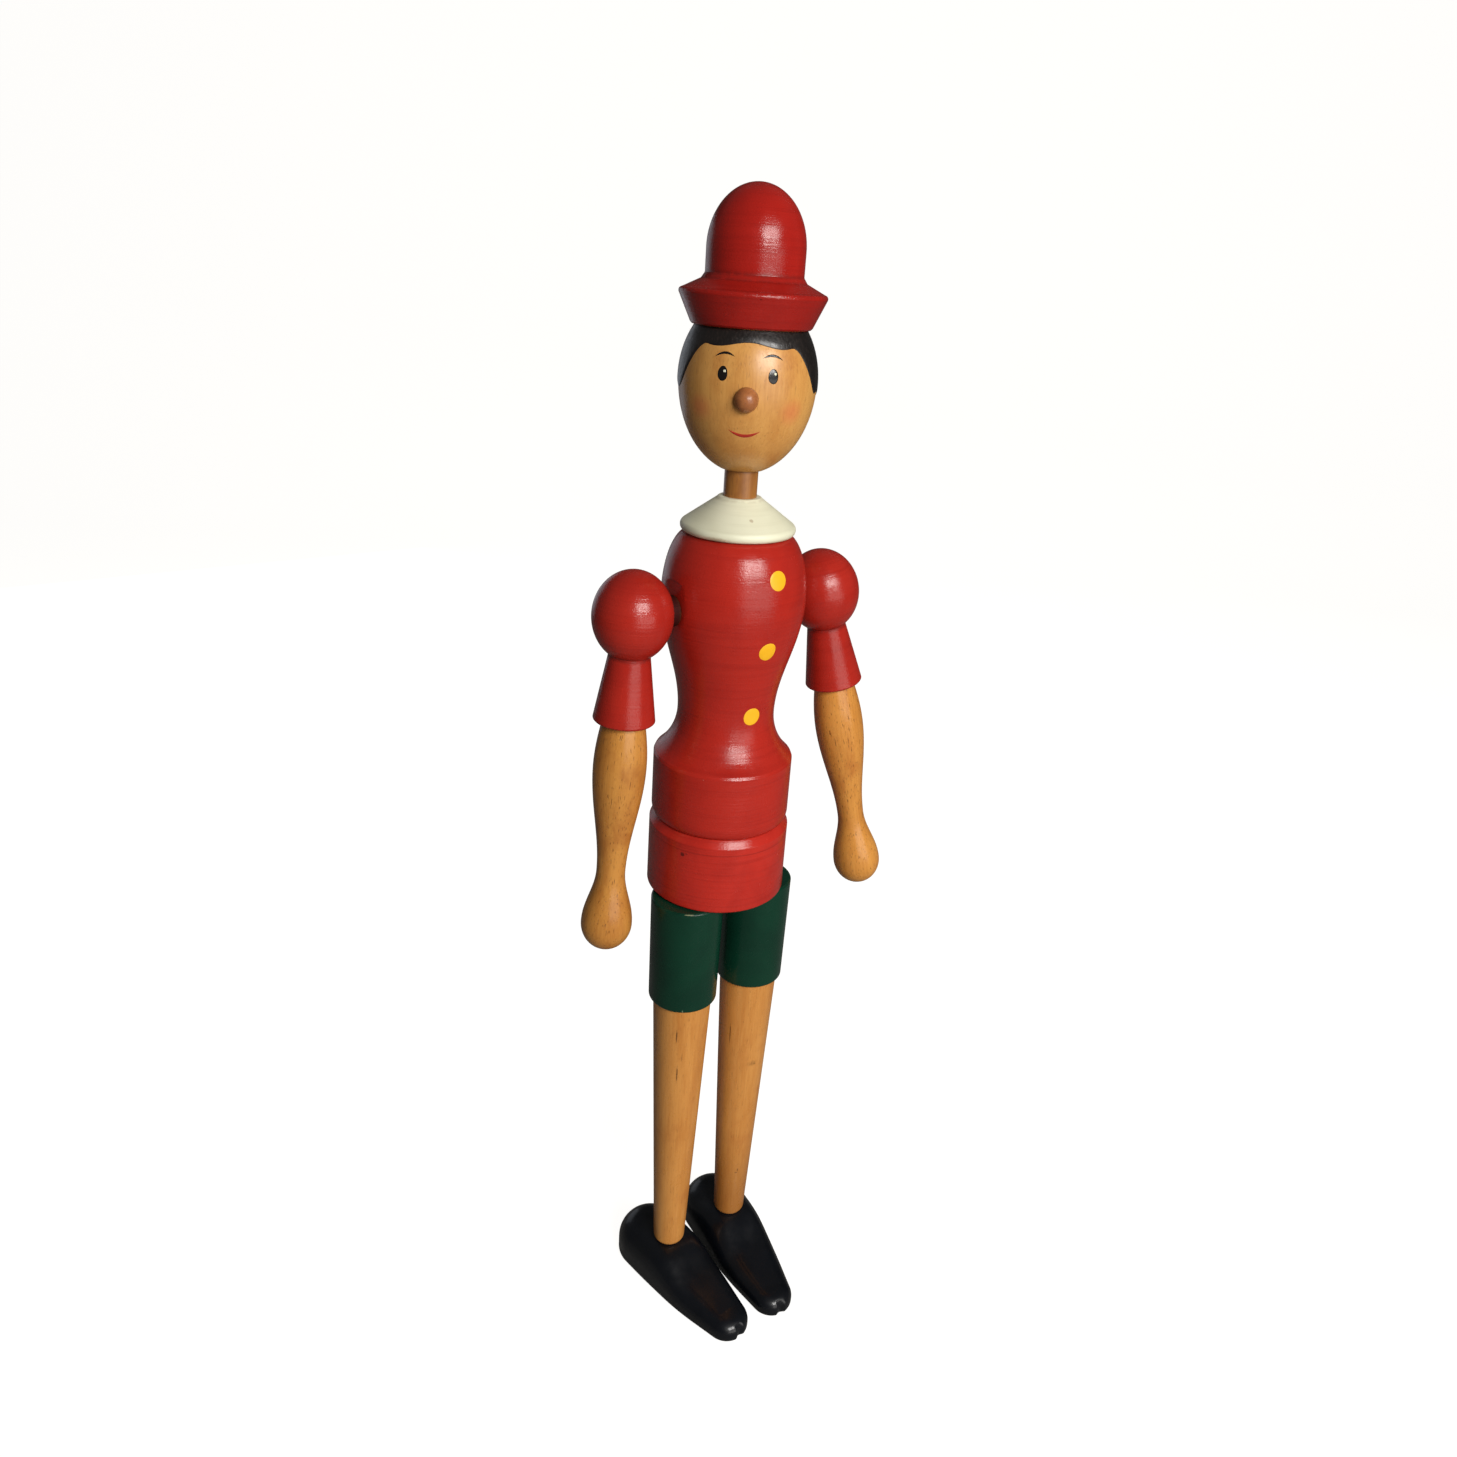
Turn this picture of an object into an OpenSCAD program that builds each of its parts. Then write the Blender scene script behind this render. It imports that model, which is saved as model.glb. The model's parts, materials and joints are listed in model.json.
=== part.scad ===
// Jointed turned-wood doll: it stands on two carved shoes and faces -Y, with +Z up.
// Sizes are in millimetres. The origin is on the floor, under the middle of the doll's box.

/* [Shoes] */
// Width across the round heel
heel_d = 36.5; // [34:0.5:38]
// Height of the heel block
heel_h = 24; // [20:0.5:30]
// How far the heel's centre lies behind the leg
heel_back = 16.5; // [12:0.5:18]
// Width across the block under the ankle
ankle_block_d = 35; // [33:0.5:37]
// Width across the instep
instep_d = 32; // [28:0.5:34]
// Height of the shoe at the instep
instep_h = 15; // [13:0.5:20]
// How far the middle of the instep lies ahead of the leg
instep_ahead = 26.5; // [22:0.5:30]
// Width across the toe
toe_d = 24; // [20:0.5:27]
// Height of the toe
toe_h = 11.5; // [9:0.5:13]
// How far the toe's tip reaches ahead of the leg
toe_reach = 63; // [57:0.5:68]
// Radius of the sole's rounded edge
sole_round = 3; // [1:0.25:3.75]
// Depth of wood left under the shin's socket
shoe_floor = 8; // [5:0.5:12]
// Radius of the groove in the toe's tip
toe_groove_r = 3; // [2:0.1:4]
// Depth of that groove
toe_groove_deep = 2; // [0.8:0.1:3]
// How far the left shoe is turned in, in degrees
left_turn_in = 5; // [-8:1:9]
// How far the right shoe is turned in, in degrees
right_turn_in = 8; // [-8:1:9]

/* [Legs] */
// Distance between the two legs' axes
leg_spacing = 42; // [41:0.5:44]
// How far the legs stand ahead of the body's axis
leg_forward = 7.5; // [2:0.5:9]
// Diameter of a shin where it stands on the shoe
ankle_d = 17.6; // [14:0.2:20]
// Radius of a shin's rounded foot
shin_round = 2.5; // [1:0.25:3.5]
// Diameter of the tenon under a shin's foot
foot_tenon_d = 12; // [9:0.5:12.5]
// Diameter of a shin under the thigh
knee_d = 30.2; // [26:0.2:33]
// Length of a shin from the shoe's heel top to the thigh
shin_l = 170; // [140:1:200]
// Diameter of a thigh at its lower end
thigh_low_d = 35; // [33.5:0.1:37]
// Diameter of a thigh under the hips
thigh_top_d = 36.4; // [34:0.1:38]
// Length of a thigh
thigh_l = 59; // [54:0.5:75]
// Diameter of the tenon on a shin's top
shin_tenon_d = 18; // [14:0.5:22]
// Length of the tenon on a shin's top
shin_tenon_l = 22; // [14:0.5:26]
// Diameter of the peg in a thigh's top
leg_peg_d = 10; // [8:0.5:11]
// Depth of that peg in the thigh
leg_peg_deep = 24; // [16:0.5:26]

/* [Hips] */
// Diameter of the hip block
hip_d = 69; // [66:0.5:74]
// Height of the hip block
hip_h = 39; // [32:0.5:44]
// Width of the chamfer round the hip block's top
hip_chamfer = 2.6; // [1:0.1:3]
// Height of that chamfer
hip_chamfer_h = 3.8; // [1:0.1:6]
// Thickness of the floor that the leg pegs run in
hip_floor = 17; // [12:0.5:20]
// Depth of the recess under the hip block for the waist screw
waist_recess = 13; // [9:0.5:15]
// Diameter of the waist dowel
waist_dowel_d = 16; // [12:0.5:18]
// Depth of the waist dowel in the torso
waist_dowel_deep = 32; // [22:0.5:44]

/* [Torso] */
// Diameter of the straight band round the jacket's hem
band_d = 67.4; // [64:0.2:72]
// Height of that band
band_h = 32.5; // [30:0.5:46]
// Width of the rounding round the band's foot
band_foot_in = 2.4; // [0.8:0.1:3]
// Height of that rounding
band_foot_h = 4.6; // [1:0.1:7]
// Diameter of the waist
waist_d = 46.2; // [42:0.2:52]
// Radius of the cove between band and waist
cove_r = 29; // [24:0.5:38]
// Height from the waist to the chest
chest_rise = 55; // [45:0.5:70]
// Diameter of the chest
chest_d = 66.6; // [60:0.2:72]
// Height from the chest to the top of the shoulders
shoulder_rise = 30; // [26:0.5:36]
// Diameter of the flat top under the collar
torso_top_d = 44; // [40:0.5:50]
// How far the shoulder axis lies below the torso's top
shoulder_drop = 33; // [29:0.5:38]
// Depth of the flat milled on each shoulder
shoulder_flat = 1.2; // [0.6:0.1:2]

/* [Collar and neck] */
// Diameter of the collar's rim
collar_d = 52; // [46:0.5:56]
// Diameter of the collar's foot
collar_foot_d = 46; // [40:0.5:48]
// Height of the collar's rounded rim
collar_rim_h = 5; // [3.5:0.25:9]
// Height of the collar
collar_h = 16; // [13:0.5:22]
// Diameter of the collar's top
collar_top_d = 20.6; // [18:0.2:24]
// Diameter of the neck dowel
neck_d = 14.9; // [12:0.1:16]
// Length of neck that shows between collar and head
neck_show = 12; // [8:0.5:16]
// Depth of the neck dowel in the torso
neck_deep = 18; // [12:0.5:20]
// Depth of the neck dowel in the head
neck_spigot = 30; // [22:0.5:32]

/* [Head] */
// Widest diameter of the head
head_d = 59; // [52:0.5:66]
// Height from the chin's flat to the widest place
head_low_h = 37; // [32:0.5:44]
// Height from the widest place to the flat under the hat
head_up_h = 21.5; // [19:0.5:28]
// Diameter of the flat under the chin
chin_d = 18.6; // [17.5:0.2:26]
// Diameter of the flat under the hat
head_top_d = 46.6; // [40:0.2:50]
// Thickness of the web that the neck screw holds
head_web = 6; // [4:0.5:8]
// How far the head is turned from straight ahead, in degrees
head_turn = -36; // [-180:1:180]
// Diameter of the round nose
nose_d = 10; // [7:0.5:13]
// How far the nose's centre lies below the head's widest place
nose_drop = 5; // [0:0.5:9]
// Diameter of the nose's shank
nose_shank_d = 5; // [3:0.5:6]
// Depth of the shank in the head
nose_deep = 10; // [6:0.5:12]

/* [Hat] */
// Diameter of the hat's foot, which stands on the head
hat_foot_d = 51.4; // [48:0.2:56]
// Diameter of the brim's rim
brim_d = 62; // [58:0.5:70]
// Height from the hat's foot to the rim
brim_h = 12.5; // [9:0.5:16]
// Thickness of the rounded rim
rim_t = 3; // [2:0.25:4]
// Height from the rim's middle to the crown's foot
brim_rise = 6; // [4:0.25:9]
// Diameter of the crown
crown_d = 41; // [36:0.5:46]
// Height of the crown's straight side
crown_side_h = 11; // [6:0.5:18]
// Height of the crown's dome
crown_dome_h = 25; // [18:0.5:32]
// Diameter of the spigot under the hat
hat_spigot_d = 17; // [16:0.5:22]
// Length of the spigot under the hat
hat_spigot_l = 9; // [6:0.5:12]

/* [Arms] */
// Diameter of a shoulder ball
ball_d = 36; // [32:0.5:40]
// Height of a shoulder ball
ball_h = 41; // [37:0.5:46]
// Depth of the flat cut on a ball for its peg
ball_flat = 1.5; // [1:0.1:2.2]
// Gap between a ball's flat and the torso's flat
shoulder_gap = 4.4; // [3:0.1:8]
// Diameter of a sleeve where it leaves the ball
sleeve_top_d = 19; // [18:0.2:22]
// Diameter of a sleeve's hem
sleeve_hem_d = 28.4; // [24.6:0.2:31]
// Length of a sleeve below the ball
sleeve_l = 31.5; // [26:0.5:40]
// Depth of the recess inside a sleeve's hem
hem_recess = 3.5; // [2:0.25:5]
// Gap round the forearm inside the hem
hem_gap = 0.8; // [0.4:0.1:1.2]
// Diameter of a forearm's top
elbow_d = 18.4; // [16:0.2:20]
// Diameter of a forearm's swell
swell_d = 24.6; // [21:0.2:27]
// Diameter of a wrist
wrist_d = 13.8; // [11:0.2:16]
// Diameter of a hand
hand_d = 24.8; // [20:0.2:28]
// Height from elbow to swell
elbow_to_swell = 27; // [20:0.5:34]
// Height from swell to wrist
swell_to_wrist = 54; // [44:0.5:62]
// Height from wrist to hand
wrist_to_hand = 29; // [22:0.5:36]
// Height from the hand's widest place to its end
hand_end = 13.5; // [11:0.5:17]
// How far the left arm hangs out from the body, in degrees
left_splay = 12; // [3:0.5:20]
// How far the right arm hangs out from the body, in degrees
right_splay = 3; // [3:0.5:20]
// How far the left arm is swung forward, in degrees
left_swing = 5; // [-20:1:20]
// How far the right arm is swung forward, in degrees
right_swing = -1; // [-20:1:20]
// Diameter of a shoulder peg in the torso
shoulder_peg_d = 12; // [9:0.5:13]
// Diameter of the peg's bead between ball and torso
shoulder_bead_d = 14; // [13.5:0.1:14.5]
// Depth of a shoulder peg in the ball
ball_peg_deep = 17; // [12:0.5:19]
// Diameter of the shoulder peg in the ball
ball_peg_d = 10; // [7:0.5:12]
// Half of the space between the two pegs' inner ends
peg_half_gap = 12; // [6:0.5:16]
// Diameter of the elastic cord between the pegs
cord_d = 4; // [2:0.25:5]
// Depth of the cord in each peg
cord_deep = 10; // [6:0.5:14]
// Diameter of an elbow peg
elbow_peg_d = 8; // [5:0.5:10]
// Depth of an elbow peg in the sleeve and in the forearm
elbow_peg_deep = 14; // [8:0.5:16]

/* [Screws and fits] */
// Diameter of a wood screw's shank
screw_d = 4; // [3:0.25:4.5]
// Diameter of its round head
screw_head_d = 8; // [6.5:0.25:9]
// Height of its round head
screw_head_h = 2.8; // [2:0.1:3.4]
// Depth of thread in the wood
screw_bite = 12; // [8:0.5:14]
// Width of the screwdriver's slot
slot_w = 1; // [0.6:0.1:1.4]
// Depth of the screwdriver's slot
slot_deep = 1.3; // [0.8:0.1:1.6]
// Diameter of the leg washers
leg_washer_d = 14; // [13:0.25:15]
// Diameter of the waist washer
waist_washer_d = 19; // [18.5:0.25:21]
// Thickness of the washers
washer_t = 1.5; // [1:0.1:2]
// Radial room round a piece that turns
run_clear = 0.06; // [0.02:0.01:0.1]
// Radial room round a piece that is glued in
glue_clear = 0.04; // [0.02:0.01:0.08]
// Room between two faces that turn on each other
joint_gap = 0.2; // [0.1:0.05:0.5]
// Radial room round a loose piece in its recess
loose_clear = 0.6; // [0.4:0.1:0.9]

/* [Hidden] */

// Paints and woods, as they show on the doll
red_paint = "#b8322a";
cream_paint = "#dedcc3";
green_paint = "#183a2c";
black_paint = "#17181b";
varnished_wood = "#c6944f";
inner_wood = "#d8b98a";
steel = "#a9acb0";
elastic = "#e9e6dd";

// Circles are true; this sets how finely they are drawn
$fn = 96;
hull_fn = 40;
hull_steps = 5;
curve_steps = 10;
// How far a cut runs past the face that it opens
overrun = 1;
// Small edges broken by hand
edge_break = 0.8;
// Room at the bottom of a blind hole
hole_end = 1;

// Heights, from the floor up
shin_foot_z = shoe_floor;
thigh_z = heel_h + shin_l;
thigh_end_z = thigh_z + thigh_l;
hip_z = thigh_end_z + joint_gap;
hip_end_z = hip_z + hip_h;
torso_z = hip_end_z + joint_gap;
band_end_z = torso_z + band_h;
cove_dr = (band_d - waist_d) / 2;
cove_angle = acos(1 - cove_dr / cove_r);
cove_h = cove_r * sin(cove_angle);
waist_z = band_end_z + cove_h;
chest_z = waist_z + chest_rise;
torso_end_z = chest_z + shoulder_rise;
shoulder_z = torso_end_z - shoulder_drop;
collar_end_z = torso_end_z + collar_h;
head_z = collar_end_z + neck_show;
head_mid_z = head_z + head_low_h;
head_end_z = head_mid_z + head_up_h;
web_z = head_z + neck_spigot;
rim_z = head_end_z + brim_h;
crown_z = rim_z + brim_rise;

// The shoulder flat and the ball that hangs beside it
torso_flat_x = chest_d / 2 - shoulder_flat;
ball_flat_x = torso_flat_x + shoulder_gap;
shoulder_x = ball_flat_x + ball_d / 2 - ball_flat;
bead_room = 2 * shoulder_bead_d;
crease_share = sqrt(1 - (sleeve_top_d / ball_d) * (sleeve_top_d / ball_d));
crease_down = ball_h / 2 * crease_share;
hem_down = crease_down + sleeve_l;
elbow_down = hem_down - hem_recess;
swell_down = elbow_down + elbow_to_swell;
wrist_down = swell_down + swell_to_wrist;
hand_down = wrist_down + wrist_to_hand;

// Recesses for the washers
leg_well_d = leg_washer_d + loose_clear * 2;
waist_well_d = waist_washer_d + loose_clear * 2;
head_well_d = hat_spigot_d + glue_clear * 2;
head_washer_d = hat_spigot_d - loose_clear * 2;

// The doll's box, and where the body's axis stands in it
function hand_reach(splay) = hand_down * sin(splay)
    + sqrt(pow(hand_d / 2 * cos(splay), 2) + pow(hand_end * sin(splay), 2));
left_reach = shoulder_x + max(ball_d / 2, hand_reach(left_splay));
right_reach = shoulder_x + max(ball_d / 2, hand_reach(right_splay));
toe_middle = toe_reach - toe_d / 2;
front_reach = leg_forward + toe_middle * max(cos(left_turn_in), cos(right_turn_in)) + toe_d / 2;
back_reach = max(hip_d / 2, heel_back + heel_d / 2 - leg_forward);
axis_x = (right_reach - left_reach) / 2;
axis_y = (front_reach - back_reach) / 2;

// Outlines for turning, as lists of [radius, height]
function ease(t) = (1 - cos(180 * t)) / 2;
function sway(r0, z0, r1, z1) =
    [for (i = [0:curve_steps]) let (t = i / curve_steps)
        [r0 + (r1 - r0) * ease(t), z0 + (z1 - z0) * t]];
function swell(r0, z0, r1, z1) =
    [for (i = [0:curve_steps]) let (t = i / curve_steps)
        [r0 + (r1 - r0) * sin(90 * t), z0 + (z1 - z0) * t]];
function bow(r, z, width, height, from, to, steps = curve_steps) =
    [for (i = [0:steps]) let (a = from + (to - from) * i / steps)
        [r + width * cos(a), z + height * sin(a)]];

// Angle on a quarter of an oval at which it narrows to a flat
function flat_angle(flat_d, full_d) = acos(flat_d / full_d);

module turned(outline) {
    last = len(outline) - 1;
    rotate_extrude() polygon(concat([[0, outline[0][1]]], outline, [[0, outline[last][1]]]));
}

module rod(d, z0, z1) translate([0, 0, z0]) cylinder(d = d, h = z1 - z0);

// A peg with its two ends lightly chamfered
module peg(d, z0, z1) turned([
    [d / 2 - edge_break, z0], [d / 2, z0 + edge_break], [d / 2, z1 - edge_break], [d / 2 - edge_break, z1]
]);

module along_x(x) translate([x, 0, 0]) rotate([0, 90, 0]) children();

// A round-headed wood screw, point down, with the underside of its head at height 0
module wood_screw(through) difference() {
    union() {
        turned(bow(0, 0, screw_head_d / 2, screw_head_h, 0, 90));
        turned([
            [0, -through - screw_bite], [screw_d / 2, -through - screw_bite + screw_d], [screw_d / 2, 0]
        ]);
    }
    translate([-screw_head_d / 2, -slot_w / 2, screw_head_h - slot_deep])
        cube([screw_head_d, slot_w, slot_deep + overrun]);
}

module washer(d) difference() {
    rod(d, 0, washer_t);
    rod(screw_d + glue_clear * 2, -overrun, washer_t + overrun);
}

// The hole that a screw's thread bites in
module pilot(z0, z1) rod(screw_d + glue_clear * 2, z0, z1);

// Places that pieces are set in
module on_axis() translate([axis_x, axis_y, 0]) children();
module at_leg(side) on_axis() translate([side * leg_spacing / 2, -leg_forward, 0])
    rotate([0, 0, side < 0 ? right_turn_in : -left_turn_in]) children();
module at_head() on_axis() rotate([0, 0, head_turn]) children();
// The left arm's own frame: its ball is at 0 and its peg lies along X; the right arm mirrors it
module at_shoulder(side) on_axis() mirror([side < 0 ? 1 : 0, 0, 0])
    translate([shoulder_x, 0, shoulder_z])
    rotate([side < 0 ? -right_swing : -left_swing, 0, 0]) children();
module along_arm(side) rotate([0, side < 0 ? -right_splay : -left_splay, 0]) children();

// Hat and head

// Arc of the brim's rounded rim, from below level to nearly upright
rim_arc = [-30, 80];

hat_outline = concat(
    [[hat_foot_d / 2 - edge_break, head_end_z], [hat_foot_d / 2, head_end_z + edge_break]],
    bow(brim_d / 2 - rim_t / 2, rim_z, rim_t / 2, rim_t / 2, rim_arc[0], rim_arc[1]),
    [[crown_d / 2 + rim_t / 2, crown_z - rim_t / 4]],
    [[crown_d / 2, crown_z + rim_t / 2]],
    bow(0, crown_z + crown_side_h, crown_d / 2, crown_dome_h, 0, 90));

module hat() color(red_paint) at_head() {
    turned(hat_outline);
    rod(hat_spigot_d, head_end_z - hat_spigot_l, head_end_z + edge_break);
}

head_low_semi = head_low_h / sin(flat_angle(chin_d, head_d));
head_up_semi = head_up_h / sin(flat_angle(head_top_d, head_d));
head_outline = concat(
    bow(0, head_mid_z, head_d / 2, head_low_semi, -flat_angle(chin_d, head_d), 0),
    bow(0, head_mid_z, head_d / 2, head_up_semi, 0, flat_angle(head_top_d, head_d)));
nose_z = head_mid_z - nose_drop;
nose_out = head_d / 2 * sqrt(1 - pow(nose_drop / head_low_semi, 2));

module nose_place() translate([0, -nose_out, nose_z]) rotate([90, 0, 0]) children();

module head() color(varnished_wood) at_head() difference() {
    turned(head_outline);
    rod(neck_d + run_clear * 2, head_z - overrun, web_z);
    rod(screw_d + loose_clear * 2, web_z - overrun, web_z + head_web + overrun);
    rod(head_well_d, web_z + head_web, head_end_z + overrun);
    nose_place() {
        sphere(d = nose_d + glue_clear * 2);
        rod(nose_shank_d + glue_clear * 2, -nose_deep - hole_end, 0);
    }
}

module nose_peg() color(varnished_wood) at_head() nose_place() {
    sphere(d = nose_d);
    rod(nose_shank_d, -nose_deep, 0);
}

// Neck and collar

module neck_dowel() color(varnished_wood) on_axis() difference() {
    peg(neck_d, torso_end_z - neck_deep, web_z - joint_gap);
    pilot(web_z - joint_gap - screw_bite - hole_end, web_z);
}

module neck_washer() color(steel) on_axis()
    translate([0, 0, web_z + head_web + joint_gap]) washer(head_washer_d);

module neck_screw() color(steel) on_axis()
    translate([0, 0, web_z + head_web + joint_gap + washer_t])
    wood_screw(washer_t + head_web + joint_gap * 2);

// Arc of the collar's rounded rim, from below level to the cone's slope
collar_arc = [-60, 55];

collar_outline = concat(
    [[collar_foot_d / 2, torso_end_z]],
    bow(collar_d / 2 - collar_rim_h / 2, torso_end_z + collar_rim_h / 2,
        collar_rim_h / 2, collar_rim_h / 2, collar_arc[0], collar_arc[1]),
    [[collar_top_d / 2, collar_end_z - edge_break], [collar_top_d / 2 - edge_break, collar_end_z]]);

module collar() color(cream_paint) on_axis() difference() {
    turned(collar_outline);
    rod(neck_d + glue_clear * 2, torso_end_z - overrun, collar_end_z + overrun);
}

// Torso and hips

// Angle of the cove that the band's broken edge takes
cove_edge_angle = asin(edge_break / cove_r);

torso_outline = concat(
    bow(band_d / 2 - band_foot_in, torso_z + band_foot_h, band_foot_in, band_foot_h, -90, 0),
    [[band_d / 2, band_end_z - edge_break]],
    bow(waist_d / 2 + cove_r, waist_z, -cove_r, -cove_r, cove_angle - cove_edge_angle, 0),
    sway(waist_d / 2, waist_z, chest_d / 2, chest_z),
    bow(torso_top_d / 2, chest_z, (chest_d - torso_top_d) / 2, shoulder_rise, 0, 90));

module torso() color(red_paint) on_axis() difference() {
    turned(torso_outline);
    rod(neck_d + glue_clear * 2, torso_end_z - neck_deep - hole_end, torso_end_z + overrun);
    rod(waist_dowel_d + glue_clear * 2, torso_z - overrun, torso_z + waist_dowel_deep + hole_end);
    translate([0, 0, shoulder_z]) {
        along_x(0) rod(shoulder_peg_d + run_clear * 2, -chest_d / 2, chest_d / 2);
        for (turn = [0, 180]) rotate([0, 0, turn]) along_x(torso_flat_x)
            rod(bead_room, 0, shoulder_flat + overrun);
    }
}

waist_floor_z = hip_z + waist_recess;

module waist_dowel() color(inner_wood) on_axis() difference() {
    peg(waist_dowel_d, waist_floor_z - joint_gap, torso_z + waist_dowel_deep);
    pilot(waist_floor_z - overrun, waist_floor_z - joint_gap + screw_bite + hole_end);
}

module waist_washer() color(steel) on_axis()
    translate([0, 0, waist_floor_z - joint_gap - washer_t]) washer(waist_washer_d);

module waist_screw() color(steel) on_axis()
    translate([0, 0, waist_floor_z - joint_gap - washer_t]) mirror([0, 0, 1]) wood_screw(washer_t);

leg_floor_z = hip_z + hip_floor;

module hip_block() color(red_paint) difference() {
    on_axis() turned([
        [hip_d / 2 - edge_break, hip_z], [hip_d / 2, hip_z + edge_break],
        [hip_d / 2, hip_end_z - hip_chamfer_h], [hip_d / 2 - hip_chamfer, hip_end_z]
    ]);
    on_axis() {
        rod(waist_dowel_d + run_clear * 2, hip_z - overrun, hip_end_z + overrun);
        rod(waist_well_d, hip_z - overrun, waist_floor_z);
    }
    for (side = [-1, 1]) at_leg(side) {
        rod(leg_peg_d + run_clear * 2, hip_z - overrun, hip_end_z);
        rod(leg_well_d, leg_floor_z, hip_end_z + overrun);
    }
}

// Arms

upper_arm_outline = concat(
    bow(0, 0, ball_d / 2, ball_h / 2, 90, -asin(crease_share)),
    [[sleeve_top_d / 2, -crease_down - edge_break]],
    [[sleeve_hem_d / 2, -hem_down + edge_break], [sleeve_hem_d / 2 - edge_break, -hem_down]]);

forearm_outline = concat(
    [[elbow_d / 2 - edge_break, -elbow_down]],
    swell(elbow_d / 2, -elbow_down - edge_break, swell_d / 2, -swell_down),
    sway(swell_d / 2, -swell_down, wrist_d / 2, -wrist_down),
    sway(wrist_d / 2, -wrist_down, hand_d / 2, -hand_down),
    bow(0, -hand_down, hand_d / 2, hand_end, 0, -90));

module upper_arm(side) color(red_paint) at_shoulder(side) difference() {
    along_arm(side) difference() {
        turned(upper_arm_outline);
        rod(elbow_d + hem_gap * 2, -hem_down - overrun, -elbow_down);
        rod(elbow_peg_d + glue_clear * 2, -hem_down, -elbow_down + elbow_peg_deep + hole_end);
    }
    along_x(-ball_d) rod(ball_h, 0, ball_d / 2 + ball_flat);
    along_x(-ball_d / 2 + ball_flat) rod(ball_peg_d + glue_clear * 2, -overrun, ball_peg_deep + hole_end);
}

module forearm(side) color(varnished_wood) at_shoulder(side) along_arm(side) difference() {
    turned(forearm_outline);
    rod(elbow_peg_d + glue_clear * 2, -elbow_down - elbow_peg_deep - hole_end, -elbow_down + overrun);
}

module elbow_peg(side) color(inner_wood) at_shoulder(side) along_arm(side)
    peg(elbow_peg_d, -elbow_down - elbow_peg_deep, -elbow_down + elbow_peg_deep);

// One turned piece: thick in the torso, a bead in the gap, thinner in the ball
module shoulder_peg(side) color(inner_wood) at_shoulder(side) along_x(-shoulder_x) difference() {
    union() {
        peg(shoulder_peg_d, peg_half_gap, torso_flat_x + shoulder_gap);
        rod(shoulder_bead_d, torso_flat_x + joint_gap, ball_flat_x);
        peg(ball_peg_d, ball_flat_x - edge_break * 2, ball_flat_x + ball_peg_deep);
    }
    rod(cord_d + loose_clear * 2, peg_half_gap - overrun, peg_half_gap + cord_deep + hole_end);
}

module shoulder_cord() color(elastic) on_axis() translate([0, 0, shoulder_z])
    along_x(0) rod(cord_d, -peg_half_gap - cord_deep, peg_half_gap + cord_deep);

// Legs

module thigh(side) color(green_paint) at_leg(side) difference() {
    turned([
        [thigh_low_d / 2 - edge_break, thigh_z], [thigh_low_d / 2, thigh_z + edge_break],
        [thigh_top_d / 2, thigh_end_z - edge_break], [thigh_top_d / 2 - edge_break, thigh_end_z]
    ]);
    rod(shin_tenon_d + glue_clear * 2, thigh_z - overrun, thigh_z + shin_tenon_l + hole_end);
    rod(leg_peg_d + glue_clear * 2, thigh_end_z - leg_peg_deep - hole_end, thigh_end_z + overrun);
}

module leg_peg(side) color(inner_wood) at_leg(side) difference() {
    peg(leg_peg_d, thigh_end_z - leg_peg_deep, leg_floor_z + joint_gap);
    pilot(leg_floor_z - screw_bite - hole_end, leg_floor_z + overrun);
}

module leg_washer(side) color(steel) at_leg(side)
    translate([0, 0, leg_floor_z + joint_gap]) washer(leg_washer_d);

module leg_screw(side) color(steel) at_leg(side)
    translate([0, 0, leg_floor_z + joint_gap + washer_t]) wood_screw(washer_t);

shin_outline = concat(
    [[foot_tenon_d / 2 - edge_break, shin_foot_z], [foot_tenon_d / 2, shin_foot_z + edge_break]],
    [[foot_tenon_d / 2, heel_h]],
    bow(ankle_d / 2 - shin_round, heel_h + shin_round, shin_round, shin_round, -90, 0),
    [[knee_d / 2, thigh_z], [shin_tenon_d / 2, thigh_z]],
    [[shin_tenon_d / 2, thigh_z + shin_tenon_l - edge_break]],
    [[shin_tenon_d / 2 - edge_break, thigh_z + shin_tenon_l]]);

module shin(side) color(varnished_wood) at_leg(side) turned(shin_outline);

// A round block with a flat sole and a domed top, one of the four that a shoe is drawn over
module shoe_round(d, h, dome_share) {
    wall = h * (1 - dome_share);
    rotate_extrude($fn = hull_fn) polygon(concat(
        [[0, 0]],
        bow(d / 2 - sole_round, sole_round, sole_round, sole_round, -90, 0, hull_steps),
        bow(d / 2 * (1 - dome_share), wall, d / 2 * dome_share, h - wall, 0, 90, hull_steps),
        [[0, h]]));
}

// How much of a shoe's height and width its rounded top edge takes
shoe_dome_share = 0.55;

module shoe(side) color(black_paint) at_leg(side) difference() {
    hull() {
        translate([0, heel_back, 0]) shoe_round(heel_d, heel_h, shoe_dome_share);
        shoe_round(ankle_block_d, heel_h, shoe_dome_share);
        translate([0, -instep_ahead, 0]) shoe_round(instep_d, instep_h, shoe_dome_share);
        translate([0, -toe_middle, 0]) shoe_round(toe_d, toe_h, shoe_dome_share);
    }
    rod(foot_tenon_d + glue_clear * 2, shin_foot_z, heel_h + overrun);
    translate([0, -toe_reach - toe_groove_r + toe_groove_deep, 0])
        rod(toe_groove_r * 2, -overrun, toe_h + overrun);
}

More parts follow.
